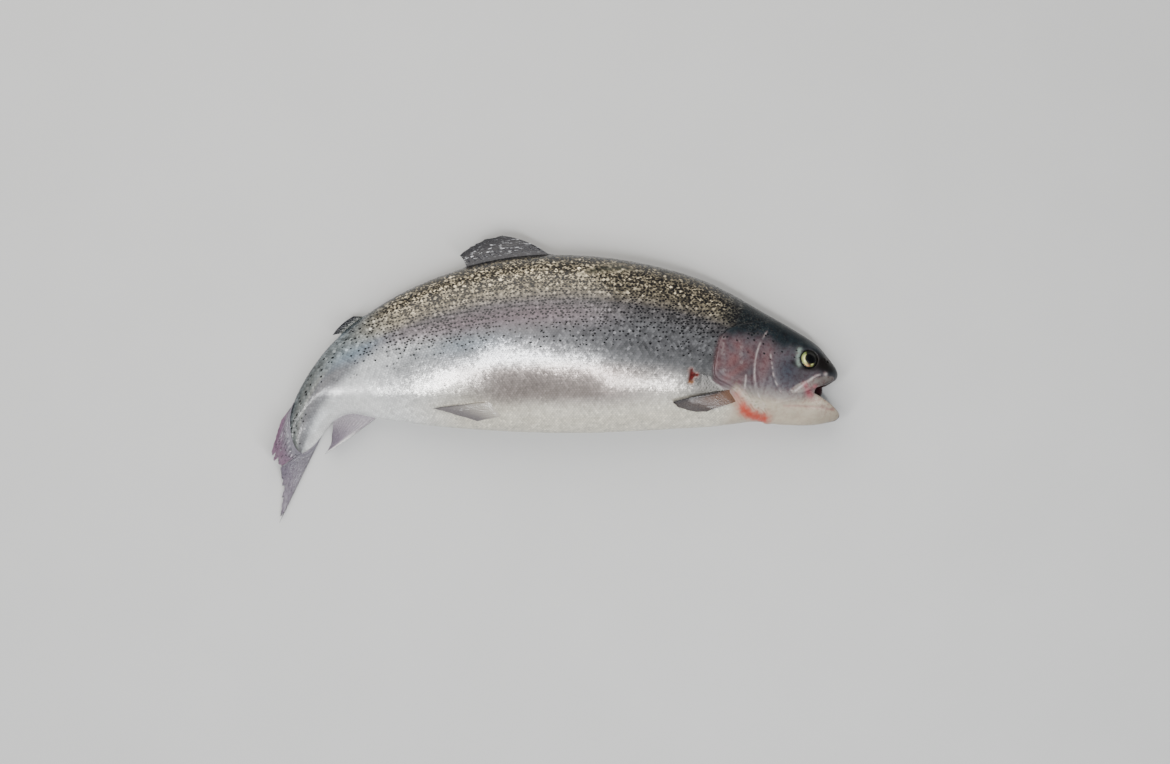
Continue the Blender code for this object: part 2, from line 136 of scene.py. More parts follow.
PECTORAL_RAYS = (
    (88.5, -20.6, 138.5, -40.0), (86.3, -23.2, 133, -43.5), (84.0, -26.0, 120, -44.5),
    (82.0, -29.0, 107, -42.5),
)
PELVIC_RAYS = (
    (300, -45.0, 354, -41.5), (297.5, -49.0, 346, -44.5), (295, -53.0, 334, -50.0),
    (292, -57.0, 316, -57.5),
)

# ---- looks only

HEAD_END = 118.0  # where the head's field hands over to the trunk's rings
HEAD_CELL = 0.70
RING_STEP = 3.0
RING_POINTS = 148
LAST_SECTION = 496.0  # scales and looks read the tail's section no further than this
LAST_RING = 496.4
SKIN_TIP = 496.9
COAT_DEPTH = 0.45  # the skin lies this far inside the solids where scales cover it
LATERAL_LINE = ((96, 20), (112, 15), (150, 8), (220, 3.5), (300, 1.5), (500, 0))

SCALE_SPACING = 2.7
SCALE_ROW = 1.9
SCALE_SHAPE = (  # half outline: towards the tail, across, height of the top
    (2.1, 0.0, 0.25), (1.75, 0.95, 0.21), (0.8, 1.6, 0.12), (-0.4, 1.7, 0.02),
    (-1.5, 0.95, -0.08),
)
SCALE_MIDDLE = (0.4, 0.0, 0.10)
SCALE_THICKNESS = 0.22
COAT_FRONT = 84.0
COAT_SPLIT = 247.0  # where each flank's coat is parted into a front and a rear piece
COAT_TAIL = (31.0, 20.0)  # how far the coat rounds out over the tail's end, and half its width
LEFT_LATTICE = 300  # the left flank's spots are read this far along the lattice
# Front edge of the scaled body, by height: (v, s).
COAT_START = (
    (-62, 92), (-48, 88), (-38, 86), (-32, 90), (-27, 93), (-21, 99), (-17.5, 107),
    (-14, 108.5), (-8, 110), (5, 111), (18, 110.5), (26, 106.5), (32, 99.5), (45, 97), (60, 95),
)
WOUND = ((127.4, -12.6), (126.6, -17.0), (125.6, -21.8))
WOUND_ARM = ((126.4, -16.4), (122.2, -15.6))
BACK_SCAR = ((224, 57.5), (212, 61), (201, 63.5), (192, 64.5), (182, 64))

# The coat's bake map: first s and length, girth and height of a flank's band, the foot of the
# right and the left flank's band, and an island's size for each millimetre of its scale.
MAP_START, MAP_LENGTH = 80.0, 430.0
MAP_GIRTH, MAP_HEIGHT = 220.0, 0.46
MAP_BAND = {1: 0.02, -1: 0.52}
MAP_PER_MM = 0.0006

EYE_RADIUS = 8.3
EYE_BULGE = 5.2
PUPIL_RADIUS = 4.2
SOCKET = (8.2, 8.2, 5.1)

FIN_ROOT = -0.06  # fins start this far inside the body, as a share of a ray's length

FLOOR_REACH = 9.0  # metres, as are the lamps' and the camera's places
LAMP_ARCH = ((0.90, -0.97), (0.45, -0.38), (-0.25, -0.04), (-0.60, -0.42), (-0.88, -0.98))
ARCH_HEIGHT = 1.57
ARCH_WIDTH = 0.11
ARCH_GLOW = 34.0
CAMERA_DISTANCE = 4.0
CAMERA_VIEW = 2.058  # width of the view and the camera's shift, in lengths of the CAD box
CAMERA_SHIFT = (0.0502, -0.0114)


def smoothstep(x):
    x = np.clip(x, 0.0, 1.0)
    return x * x * (3.0 - 2.0 * x)


def ramp(x, start, end):
    return smoothstep((x - start) / (end - start))


def fall(x, start, end):
    return 1 - ramp(x, start, end)


def span(x, start, full, fading, end):
    """Rises from start to full and falls from fading to end."""
    return ramp(x, start, full) * fall(x, fading, end)


def bell(x, centre, width):
    return np.exp(-((x - centre) / width) ** 2)


def dab(x, y, centre, reach):
    return bell(x, centre[0], reach[0]) * bell(y, centre[1], reach[1])


def table_value(table, s, column=1):
    """Smooth monotone interpolation of one column of a table over its first column."""
    xs = np.array([row[0] for row in table], float)
    ys = np.array([row[column] for row in table], float)
    steps = np.diff(ys) / np.diff(xs)
    a, b = steps[:-1], steps[1:]
    same = a * b > 0
    middle = np.where(same, 2 * a * b / np.where(same, a + b, 1.0), 0.0)
    slopes = np.concatenate([steps[:1], middle, steps[-1:]])
    s = np.clip(s, xs[0], xs[-1])
    i = np.clip(np.searchsorted(xs, s, side="right") - 1, 0, len(xs) - 2)
    width = xs[i + 1] - xs[i]
    t = (s - xs[i]) / width
    rise = t * t * (3 - 2 * t)
    return (ys[i] * (1 - rise) + ys[i + 1] * rise
            + width * t * (1 - t) * (slopes[i] * (1 - t) - slopes[i + 1] * t))


def heading(s):
    bend = TAIL_BEND * smoothstep((s - TAIL_BEND_START) / TAIL_BEND_LENGTH)
    return np.radians(HEADING_AT_SNOUT - ARCH_PER_MM * s - bend)


AXIS_S = np.arange(AXIS_START, AXIS_END + AXIS_STEP, AXIS_STEP)
_turn = heading(AXIS_S[:-1] + AXIS_STEP / 2)
AXIS_X = np.concatenate([[0.0], np.cumsum(-np.cos(_turn) * AXIS_STEP)])
AXIS_Y = np.concatenate([[0.0], np.cumsum(np.sin(_turn) * AXIS_STEP)])
ORIGIN = np.zeros(3)


def to_rest(points, lift=np.zeros(3), lowest=0.0):
    """Resting places, in metres, of straight-fish points; lift is tailward, backward and up."""
    s, v, w = np.moveaxis(points, -1, 0)
    twist = math.radians(TAIL_TWIST) * smoothstep((s - TAIL_TWIST_START) / TAIL_TWIST_LENGTH)
    tailward = lift[..., 0]
    across = v * np.cos(twist) - w * np.sin(twist) + lift[..., 1]
    height = table_value(AXIS_HEIGHT, s) + w * np.cos(twist) + v * np.sin(twist) + lift[..., 2]
    angle = heading(s)
    x = np.interp(s, AXIS_S, AXIS_X) + across * np.sin(angle) - tailward * np.cos(angle)
    y = np.interp(s, AXIS_S, AXIS_Y) + across * np.cos(angle) + tailward * np.sin(angle)
    return np.stack([x, y, np.maximum(height, lowest)], axis=-1) * MM + ORIGIN


def tail_reach(s):
    return np.clip((s - TAIL_END_START) / TAIL_END_LENGTH, 0.0, 1.0)


def tail_end(s, full):
    return full * (1 - tail_reach(s) ** TAIL_END_ROUNDNESS) ** (1 / TAIL_END_ROUNDNESS)


def back(s):
    return tail_end(s, table_value(SECTIONS, s, 1))


def belly(s):
    return tail_end(s, table_value(SECTIONS, s, 2))


def height_at(s, v):
    """The back's height or the belly's, by which side of the axis v is on."""
    return np.where(v >= 0, back(s), belly(s))


def half_width(s):
    full = table_value(SECTIONS, s, 3)
    return full + (TAIL_END_HALF_WIDTH - full) * tail_reach(s)


def coat_inset(s):
    return COAT_DEPTH * ramp(s, 88.0, 112.0)


def section_point(s, angle):
    """Points of whole cross-sections; angle 0 is the back, a quarter turn the right flank."""
    c, k = np.cos(angle), np.sin(angle)
    v = np.sign(c) * np.abs(c) ** (2 / ROUNDNESS) * height_at(s, c)
    w = np.sign(k) * np.abs(k) ** (2 / ROUNDNESS) * half_width(s)
    return np.stack([s + 0 * v, v, w], axis=-1)


def angle_at(s, v):
    ratio = np.clip(np.abs(v) / np.maximum(height_at(s, v), 0.1), 0, 1) ** (ROUNDNESS / 2)
    return np.arccos(np.sign(v) * ratio)


def section_normal(points):
    """Outward direction of the cross-section through points, in its own plane."""
    s, v, w = np.moveaxis(points, -1, 0)
    height, half = np.maximum(height_at(s, v), 0.1), half_width(s)
    nv = np.sign(v) * (np.abs(v) / height) ** (ROUNDNESS - 1) / height
    nw = np.sign(w) * (np.abs(w) / half) ** (ROUNDNESS - 1) / half
    length = np.maximum(np.hypot(nv, nw), 1e-9)
    return np.stack([np.zeros_like(nv), nv / length, nw / length], axis=-1)


def flank_point(s, v, side, lift):
    point = section_point(s, angle_at(s, v))
    point = point + section_normal(point) * np.asarray(lift)[..., None]
    point[..., 2] *= side
    return point


# ---- mesh and material helpers

def new_object(name, data):
    made = bpy.data.objects.new(name, data)
    bpy.context.scene.collection.objects.link(made)
    return made


def add_piece(name, points, polygons, material, smooth=True):
    """A mesh object from points in metres and lists of equal-sided polygons, on the root."""
    mesh = bpy.data.meshes.new(name)
    polygons = [np.asarray(group, np.int32) for group in polygons]
    corners = np.concatenate([group.ravel() for group in polygons])
    sides = np.concatenate([np.full(len(group), group.shape[1]) for group in polygons])
    mesh.vertices.add(len(points))
    mesh.vertices.foreach_set("co", np.ascontiguousarray(points, np.float32).ravel())
    mesh.loops.add(len(corners))
    mesh.loops.foreach_set("vertex_index", corners)
    mesh.polygons.add(len(sides))
    mesh.polygons.foreach_set("loop_start", np.concatenate([[0], np.cumsum(sides)[:-1]]))
    mesh.polygons.foreach_set("use_smooth", np.full(len(sides), smooth))
    mesh.update(calc_edges=True)
    mesh.validate()
    mesh.materials.append(material)
    piece = new_object(name, mesh)
    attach(piece, "root")
    return piece


def set_attributes(piece, **fields):
    """Point attributes of one value or three; paint is a colour and gets its alpha here."""
    count = len(piece.data.vertices)
    kinds = {1: ("FLOAT", "value"), 3: ("FLOAT_VECTOR", "vector"), 4: ("FLOAT_COLOR", "color")}
    for name, values in fields.items():
        values = np.asarray(values, np.float32).reshape(count, -1)
        if name == "paint":
            values = np.concatenate([values, np.ones((count, 1), np.float32)], axis=1)
        kind, field = kinds[values.shape[1]]
        layer = piece.data.attributes.new(name, kind, "POINT")
        layer.data.foreach_set(field, values.ravel())


def grid_quads(rows, columns, first=0, closed=False):
    """Quads of a grid of points numbered row by row, whose rows may close on themselves."""
    i, j = np.meshgrid(np.arange(rows - 1), np.arange(columns - (not closed)), indexing="ij")
    here, after = i * columns + j, i * columns + (j + 1) % columns
    quads = np.stack([here, here + columns, after + columns, after], axis=-1)
    return first + quads.reshape(-1, 4)


def colour(red, green, blue):
    """Linear colour from everyday 0-255 values."""
    c = np.array([red, green, blue]) / 255.0
    return np.where(c <= 0.04045, c / 12.92, ((c + 0.055) / 1.055) ** 2.4)


def layered(paint, *layers):
    """Paint, or one colour, under layers of (tone, amount), each over the ones before it."""
    for tone, amount in layers:
        paint = paint + (tone - paint) * np.clip(amount, 0, 1)[..., None]
    return paint


class Graph:
    """Short forms for a material's nodes."""

    def __init__(self, name):
        self.material = bpy.data.materials.new(name)
        self.material.use_nodes = True
        self.tree = self.material.node_tree

    def feed(self, socket, value):
        if isinstance(value, bpy.types.NodeSocket):
            self.tree.links.new(value, socket)
        else:
            socket.default_value = value

    def node(self, kind, inputs=None, **settings):
        """A new node's outputs."""
        item = self.tree.nodes.new("ShaderNode" + kind)
        for key, value in settings.items():
            setattr(item, key, value)
        for key, value in (inputs or {}).items():
            self.feed(item.inputs[key], value)
        return item.outputs

    def attribute(self, name, output="Fac"):
        return self.node("Attribute", attribute_name=name)[output]

    def math(self, operation, a, b=0.0, clamp=False):
        return self.node("Math", {0: a, 1: b}, operation=operation, use_clamp=clamp)[0]

    def times(self, a, b, clamp=False):
        return self.math("MULTIPLY", a, b, clamp)

    def vector(self, operation, a, b, output=0):
        return self.node("VectorMath", {0: a, 1: b}, operation=operation)[output]

    def scaled(self, value, factor, shift, extra=None):
        """value x factor + shift, or + shift + extra where extra is another value."""
        item = self.node("Math", {0: value, 1: factor, 2: shift}, operation="MULTIPLY_ADD")[0]
        return item if extra is None else self.math("ADD", item, extra)

    def step(self, value, start, end):
        inputs = {0: value, 1: start, 2: end}
        return self.node("MapRange", inputs, interpolation_type="SMOOTHSTEP")[0]

    def mix(self, amount, a, b, mode="MIX"):
        return self.node("Mix", {0: amount, 6: a, 7: b}, data_type="RGBA", blend_type=mode)[2]

    def painted(self, shade):
        return self.mix(1.0, self.attribute("paint", "Color"), shade, "MULTIPLY")

    def noise(self, vector, scale, detail=3.0, roughness=0.55):
        return self.node("TexNoise", {"Vector": vector, "Scale": scale, "Detail": detail,
                                      "Roughness": roughness})[0]

    def set(self, **values):
        shader = self.tree.nodes["Principled BSDF"]
        for name, value in values.items():
            self.feed(shader.inputs[name.replace("_", " ")], value)

    def bump(self, height):
        inputs = {"Height": height, "Strength": 0.5, "Distance": 0.5 * MM}
        self.set(Normal=self.node("Bump", inputs)[0])


def spot_mask(graph):
    """Dark spots on the lattice of the scales, each kept where the spots attribute says."""
    place = graph.attribute("lattice", "Vector")
    cells = graph.node("TexVoronoi", {"Vector": place, "Scale": 1.0, "Randomness": 0.45},
                       voronoi_dimensions="2D")
    offset = graph.vector("SUBTRACT", place, cells["Position"])
    squares = []
    for direction in ((1.25, 1.25, 0.0), (2.3, -2.3, 0.0)):
        part = graph.vector("DOT_PRODUCT", offset, direction, "Value")
        squares.append(graph.times(part, part))
    reach = graph.math("SQRT", graph.math("ADD", *squares))
    reach = graph.scaled(graph.noise(place, 1.4, 3.0, 0.7), 1.1, -0.55, reach)
    pick = graph.node("SeparateColor", {0: cells["Color"]})
    size = graph.scaled(graph.attribute("spots"), 0.22, 0.58, graph.times(pick[1], 0.4))
    inside = graph.step(graph.math("SUBTRACT", size, reach), -0.26, 0.24)
    row = graph.vector("DOT_PRODUCT", cells["Position"], (math.pi, -math.pi, 0.0), "Value")
    rows = graph.scaled(graph.math("COSINE", row), 0.5, 1.0)
    wanted = graph.times(graph.attribute("spots"), rows)
    return graph.times(inside, graph.step(graph.math("SUBTRACT", wanted, pick[0]), 0.0, 0.06))


def flesh_material(name, slime):
    """Wet skin and scales: painted colour, dark spots, silver sheen and a fine grain."""
    graph = Graph(name)
    flat = graph.attribute("flat", "Vector")
    silver, bare = graph.attribute("silver"), graph.attribute("bare")
    base = graph.painted(graph.scaled(graph.noise(flat, 0.10, 4.0), 0.5, 0.75))
    blotch = graph.step(graph.noise(flat, 0.33, 5.0, 0.65), 0.42, 0.68)
    tinted = graph.mix(0.8, base, (0.62, 0.42, 0.46, 1.0), "MULTIPLY")
    base = graph.mix(graph.times(blotch, bare), base, tinted)
    dark = graph.mix(0.97, base, (0.006, 0.006, 0.007, 1.0))
    worms = graph.step(graph.noise(flat, 0.42, 2.0), 0.46, 0.53)
    worms = graph.times(worms, graph.step(graph.attribute("spots"), 0.45, 0.85))
    base = graph.mix(graph.times(worms, 0.92), base, dark)
    grain = graph.noise(flat, 1.5, 4.0, 0.6)
    wrinkle = graph.times(graph.noise(flat, 0.30, 4.0, 0.62), bare)
    relief = graph.scaled(wrinkle, 0.9, 0.0, graph.times(grain, 0.05))
    spots = spot_mask(graph)
    metal = graph.times(silver, graph.scaled(spots, -0.7, 1.0))
    metal = graph.math("MAXIMUM", metal, 0.0)
    raw = graph.times(graph.math("MAXIMUM", graph.scaled(silver, -1.0, 0.0), 0.0), 0.6)
    fleck = graph.step(graph.noise(flat, 0.9, 3.0, 0.6), 0.52, 0.66)
    fleck = graph.times(fleck, graph.times(bare, graph.attribute("spots")))
    base = graph.mix(graph.times(fleck, 1.0, clamp=True), base, (0.125, 0.125, 0.105, 1.0))
    graph.set(Base_Color=graph.mix(spots, base, dark), Metallic=metal,
              Roughness=graph.scaled(grain, 0.16, 0.23 - slime * 0.3, raw), IOR=1.33,
              Coat_Weight=slime, Coat_Roughness=0.30 - slime * 0.5)
    graph.bump(relief)
    return graph.material


def fin_material():
    """Wet fin: painted rays and membrane with a fine lengthwise grain and painted glints."""
    graph = Graph("wet_fin")
    flat = graph.attribute("flat", "Vector")
    grain = graph.noise(flat, 0.8, 5.0, 0.62)
    base = graph.painted(graph.scaled(grain, 1.3, 0.35))
    # painted glints: pale flecks where the silver attribute asks for them
    glint_mask = graph.times(graph.step(graph.noise(flat, 0.30, 3.0), 0.57, 0.63),
                      graph.attribute("silver"), clamp=True)
    base = graph.mix(glint_mask, base, (0.72, 0.73, 0.76, 1.0))
    dark = graph.mix(0.8, base, (0.012, 0.012, 0.015, 1.0))
    graph.set(Base_Color=graph.mix(spot_mask(graph), base, dark), IOR=1.4,
              Roughness=graph.scaled(grain, 0.25, 0.14), Coat_Weight=0.5, Coat_Roughness=0.06)
    graph.bump(grain)
    return graph.material


def eye_material():
    """Glossy eye: painted pupil and iris with fine radial flecks."""
    graph = Graph("wet_eye")
    flecks = graph.noise(graph.attribute("flat", "Vector"), 1.1, 5.0, 0.7)
    graph.set(Base_Color=graph.painted(graph.scaled(flecks, 1.9, 0.05)),
              Roughness=graph.scaled(flecks, 0.1, 0.36), IOR=1.2,
              Metallic=graph.attribute("silver"), Coat_Weight=0.16, Coat_Roughness=0.03)
    return graph.material


def floor_material():
    graph = Graph("pale_floor")
    tone = graph.noise(graph.node("TexCoord")["Object"], 9.0, 5.0)
    graph.set(Base_Color=graph.mix(tone, (0.60, 0.60, 0.59, 1), (0.66, 0.66, 0.65, 1)),
              Roughness=0.75)
    return graph.material


# ---- paths on the flank

def smooth_path(points, pieces=6):
    """A Catmull-Rom curve through a few points, as short straight pieces."""
    points = np.asarray(points, float)
    ends = np.concatenate([[2 * points[0] - points[1]], points, [2 * points[-1] - points[-2]]])
    t = np.linspace(0, 1, pieces, endpoint=False)[:, None]
    runs = []
    for p0, p1, p2, p3 in zip(ends, ends[1:], ends[2:], ends[3:]):
        runs.append(0.5 * (2 * p1 + (p2 - p0) * t + (2 * p0 - 5 * p1 + 4 * p2 - p3) * t ** 2
                           + (3 * p1 - p0 - 3 * p2 + p3) * t ** 3))
    return np.concatenate(runs + [points[-1:]])


def path_pieces(path, s, v):
    """Each straight piece of a smoothed path, the gap to it, and how far along it that is."""
    path = smooth_path(path)
    for start, end in zip(path, path[1:]):
        s0, v0 = start[:2]
        ds, dv = end[:2] - start[:2]
        t = np.clip(((s - s0) * ds + (v - v0) * dv) / (ds * ds + dv * dv), 0, 1)
        yield start, end, np.hypot(s - s0 - ds * t, v - v0 - dv * t), t


def path_distance(path, s, v):
    """Distance to a path, how far along it the nearest point is, and on which side."""
    best, along, side = np.full(s.shape, 1e9), np.zeros(s.shape), np.ones(s.shape)
    for i, (start, end, gap, t) in enumerate(path_pieces(path, s, v)):
        nearer = gap < best
        (s0, v0), (ds, dv) = start, end - start
        best = np.where(nearer, gap, best)
        along = np.where(nearer, i + t, along)
        side = np.where(nearer, np.sign(ds * (v - v0) - dv * (s - s0)), side)
    return best, along / (i + 1), side


def stroke(path, s, v, width):
    return bell(path_distance(path, s, v)[0], 0, width)


def strip_field(rows, s, v):
    """Signed distance to a tapering strip, from its middle line's points and half widths."""
    best = np.full(s.shape, 1e9)
    for start, end, gap, t in path_pieces(rows, s, v):
        best = np.minimum(best, gap - start[2] - (end[2] - start[2]) * t)
    return best


# ---- the head as a distance field

def smin(a, b, k):
    h = np.clip(0.5 + 0.5 * (b - a) / k, 0, 1)
    return b + (a - b) * h - k * h * (1 - h)


def smax(a, b, k):
    return -smin(-a, -b, k)


def ellipsoid(s, v, w, centre, radii):
    x, y, z = (s - centre[0]) / radii[0], (v - centre[1]) / radii[1], (w - centre[2]) / radii[2]
    return (np.sqrt(x * x + y * y + z * z) - 1) * min(radii)


def ring_field(v, w, top, bottom, half, power):
    """Radial distance to a superelliptical ring."""
    height = np.where(v >= 0, top, bottom)
    g = ((np.abs(v) / height) ** power + (np.abs(w) / half) ** power) ** (1 / power)
    return np.hypot(v, w) * (1 - 1 / np.maximum(g, 1e-6))


def eye_axes():
    """Centre of the right eye and its along, across and through directions, straight-fish."""
    def place(ahead, lift):
        return flank_point(np.array(EYE_PLACE[0] - ahead), np.array(EYE_PLACE[1]), 1, lift)

    surface = place(0, 0.0)
    along = place(3, 0.0) - place(-3, 0.0)
    along = along / np.linalg.norm(along)
    through = place(0, 1.0) - surface
    through = through - along * (through @ along)
    through /= np.linalg.norm(through)
    return surface - through * EYE_DEPTH, along, np.cross(through, along), through


def cheek_relief(s, v):
    """Low relief of the head's side, in millimetres outwards, on (s, v)."""
    ridge, _, side = path_distance(PREOPERCLE, s, v)
    relief = 0.25 * bell(ridge * side, -0.9, 1.6) - 0.3 * bell(ridge * side, 1.3, 1.3)
    for height, width, path in (
            (-0.22, 1.1, CHEEK_LINE), (-0.35, 1.2, JAW_GROOVE),
            (-0.2, 1.1, ((72, -11), (84, -12.5), (96, -12), (106, -8))),
            (0.9, 2.6, ((22, 25), (30, 30.5), (40, 31.5), (50, 27))),
            (-0.3, 1.0, ((-4, -16.5), (10, -25), (25, -29.5), (44, -31.5)))):
        relief += height * stroke(path, s, v, width)
    relief += 0.35 * bell(np.hypot(s - EYE_PLACE[0], v - EYE_PLACE[1]), 8.8, 1.6)
    relief += dab(s, v, (54, 3), (14, 15))
    rays, _, _ = path_distance(GILL_REAR_EDGE[7:], s, v)
    below = span(rays, 0.5, 2.0, 8.0, 12.0) * (v < -16) * (s < 92) * (s > 44)
    return relief + 0.25 * np.cos(rays * 2 * np.pi / 2.7) * below


def gill_field(s, v):
    """Signed distance to the gill cover's outline, negative on the cover."""
    gap, _, side = path_distance(GILL_REAR_EDGE, s, v)
    return gap * side


def mouth_fields(S, V, W, whole):
    """Upper head and lower jaw, parted by the open mouth."""
    nose = ellipsoid(np.minimum(S, 30), V, W, (30, 15.5, 0), (22.4, 20, 16.5))
    upper = whole + (smax(whole, nose, 2.0) - whole) * fall(S, 20.0, 31.0)
    gap = np.maximum((V - table_value(UPPER_LIP, S)) * 0.7, (S - 50) * 0.9)
    upper = smax(upper, -gap, 1.2)
    rim, under, half = (table_value(LOWER_JAW, S, column) for column in (1, 2, 3))
    jaw = ring_field(np.minimum(V - rim, -1e-3), W, 1.0, rim - under, half, JAW_ROUNDNESS)
    jaw = jaw + (whole - jaw) * ramp(S, 26.0, 48.0)
    chin = ellipsoid(np.minimum(S, 12), V, W, (12, -14.5, 0), (18.7, 15.5, 15.6))
    jaw = np.where(S < 12, smax(jaw, chin, 1.5), jaw)
    jaw = np.maximum(smax(jaw, (V - rim) * 0.85, 1.4), S - 52)
    return smin(upper, jaw, 1.2 + 3.2 * ramp(S, 18.0, 30.0))


def head_field(s, v, w):
    """Signed distance, in millimetres, of the head and shoulders on a grid."""
    S = np.minimum(s, HEAD_END - 2 * HEAD_CELL)[:, None, None]
    V, W = v[None, :, None], w[None, None, :]
    s2, v2 = (grid[..., None] for grid in np.meshgrid(s, v, indexing="ij"))
    inset, out = coat_inset(S), np.abs(W)
    sideways = ramp(out, 3.0, 9.0)
    whole = ring_field(V, W, back(S) - inset, belly(S) - inset, half_width(S) - inset, ROUNDNESS)
    relief = cheek_relief(s2, v2) * fall(s2, 100.0, 110.0)
    cover = gill_field(s2, v2)
    slit = 0.6 * bell(cover, 0.9, 1.2) * (cover > 0) * (v2 > -30) * fall(s2, 111.0, 115.0)
    whole = whole + slit * sideways
    field = mouth_fields(S, V, W, whole) - relief * sideways
    lift = ramp(s2, 74.0, 108.0) * ramp(v2, -38.0, -20.0) + 0.2
    plate = smax(smax(whole - lift - relief, cover, 1.3), 62.0 - S, 2.0)
    field = smin(field, np.where(out > 6, plate, 9.0), 0.6)
    thick = 0.4 + 0.7 * ramp(s2, 12.0, 30.0)
    bone = smax(whole - thick, strip_field(MAXILLA, s2, v2), 0.8)
    field = smin(field, np.where(out > 4, bone, 9.0), 0.5)
    mouth = smin(ellipsoid(S, V, W, (11, -3.5, 0), (17.5, 11, 9.6)),
                 ellipsoid(S, V, W, (26, -6.5, 0), (15, 6.5, 7.5)), 2.0)
    field = smax(field, -mouth, 1.0)
    web = np.maximum(np.abs(V - table_value(UPPER_LIP, S)) - 5.0, 21.6 - S)
    web = np.where(S > 30, web - 3.0 * ramp(S, 30.0, 44.0), web)
    field = smin(field, smax(whole + 0.35 + 0.95 * fall(S, 28.0, 42.0), web, 0.8), 1.4)
    field = smin(field, ellipsoid(S, V, W, (12, -12.4, 0), (11, 2.9, 5.0)), 1.0)
    field = smin(field, ellipsoid(S, V, W, (26.5, -3, 0), (12.2, 12, 5.6)), 1.5)
    centre, *axes = eye_axes()
    parts = (S - centre[0], V - centre[1], out - centre[2])
    local = [sum(p * k for p, k in zip(parts, axis)) for axis in axes]
    field = smax(field, -ellipsoid(*local, (0, 0, 0), SOCKET), 1.6)
    for place_s, place_v, radius in NOSTRILS:
        hole = flank_point(np.array(place_s), np.array(place_v), 1, -0.4)
        pit = ellipsoid(S, V, out, hole, (radius, radius * 0.8, 1.8))
        rim = np.sqrt((S - hole[0]) ** 2 + (V - hole[1]) ** 2 + (out - hole[2]) ** 2)
        field = smax(field - 0.45 * bell(rim, radius + 0.6, 0.6), -pit, 0.3)
    return field


def surface_net(field, axes):
    """Quads along the zero surface of a field on a grid, one point per crossed cell."""
    shape = np.array(field.shape)
    cells = shape - 1
    inside = field < 0
    total, count, quads = np.zeros((cells.prod(), 3)), np.zeros(cells.prod()), []
    for axis in range(3):
        near, far = [slice(None)] * 3, [slice(None)] * 3
        near[axis], far[axis] = slice(0, -1), slice(1, None)
        near, far = tuple(near), tuple(far)
        crossed = inside[near] != inside[far]
        index = np.argwhere(crossed)
        f0, f1 = field[near][crossed], field[far][crossed]
        point = np.stack([axes[k][index[:, k]] for k in range(3)], axis=1)
        cell_size = axes[axis][index[:, axis] + 1] - point[:, axis]
        point[:, axis] += f0 / (f0 - f1) * cell_size
        others = [(axis + 1) % 3, (axis + 2) % 3]
        corners = []
        for step in ((-1, -1), (0, -1), (0, 0), (-1, 0)):
            cell = index.copy()
            cell[:, others] += step
            fits = ((cell >= 0) & (cell < cells)).all(axis=1)
            flat = np.ravel_multi_index(np.clip(cell, 0, cells - 1).T, cells)
            np.add.at(total, flat[fits], point[fits])
            np.add.at(count, flat[fits], 1)
            corners.append(flat)
        across = index[:, others]
        whole = ((across > 0) & (across < shape[others] - 1)).all(axis=1)
        quad = np.stack(corners, axis=1)[whole]
        flip = inside[far][crossed][whole]
        quad[flip] = quad[flip][:, ::-1]
        quads.append(quad)
    used = np.flatnonzero(count)
    rename = np.full(len(total), -1)
    rename[used] = np.arange(len(used))
    layer = np.unravel_index(used, cells)[0]
    return total[used] / count[used][:, None], rename[np.concatenate(quads)], layer


def head_mesh():
    """Points, quads and the open rear loop of the head, in straight-fish millimetres."""
    s = np.append(np.arange(-9.0, HEAD_END - HEAD_CELL / 2, HEAD_CELL), HEAD_END)
    v = np.arange(-63.0, 63.0, HEAD_CELL)
    w = np.arange(-36.0, 36.5, HEAD_CELL)
    points, quads, layer = surface_net(head_field(s, v, w).astype(np.float32), (s, v, w))
    loop = np.flatnonzero(layer == len(s) - 2)
    points[loop, 0] = HEAD_END
    return points, quads, loop


def fin_foot(points):
    """Low fleshy ridges that carry the fins of the back and belly, in millimetres outwards."""
    s, v, w = np.moveaxis(points, -1, 0)
    above = 1.3 * span(s, 240, 248, 305, 316) + 0.8 * span(s, 388, 395, 408, 418)
    return bell(w, 0, 2.4) * np.where(v > 0, above, 1.3 * span(s, 402, 410, 452, 464))


def trunk_mesh(first):
    """Rings of the trunk and tail from the head's end to the tail fin, closed at the tail."""
    stations = np.concatenate([np.arange(HEAD_END + RING_STEP, TAIL_END_START, RING_STEP),
                               np.linspace(TAIL_END_START + 1, LAST_RING, 24)])
    turns = np.linspace(-math.pi, math.pi, RING_POINTS, endpoint=False)
    s, turn = np.meshgrid(stations, turns, indexing="ij")
    points = section_point(s, turn)
    groove = 0.25 * bell(points[..., 1] - table_value(LATERAL_LINE, s), 0.0, 0.8)
    rise = fin_foot(points) - coat_inset(s) - groove
    points = points + section_normal(points) * rise[..., None]
    ring = first + np.arange(RING_POINTS)
    last = ring + s.size - RING_POINTS
    cap = np.stack([last, np.full(RING_POINTS, first + s.size), np.roll(last, -1)], axis=1)
    points = np.concatenate([points.reshape(-1, 3), [[SKIN_TIP, 0.0, 0.0]]])
    return points, grid_quads(*s.shape, first, closed=True), cap, ring


def by_turn(points, loop):
    """A loop's points in their order round the head's end, and the turn of each."""
    v, w = points[loop, 1], points[loop, 2]
    turn = np.arctan2(w / half_width(HEAD_END), v / height_at(HEAD_END, v))
    order = np.argsort(turn)
    return loop[order], turn[order]


def zip_loops(near, near_turn, far, far_turn):
    """Triangles between two loops whose points are sorted by turn."""
    closed, done = 4.0, 9.0  # turns past any point's, for a loop's last step and its end
    near_turn, far_turn = (np.append(turn, (closed, done)) for turn in (near_turn, far_turn))
    triangles = []
    i = j = 0
    while i < len(near) or j < len(far):
        a, b = near[i % len(near)], far[j % len(far)]
        if near_turn[i + 1] <= far_turn[j + 1]:
            i += 1
            triangles.append((a, near[i % len(near)], b))
        else:
            j += 1
            triangles.append((a, far[j % len(far)], b))
    return triangles


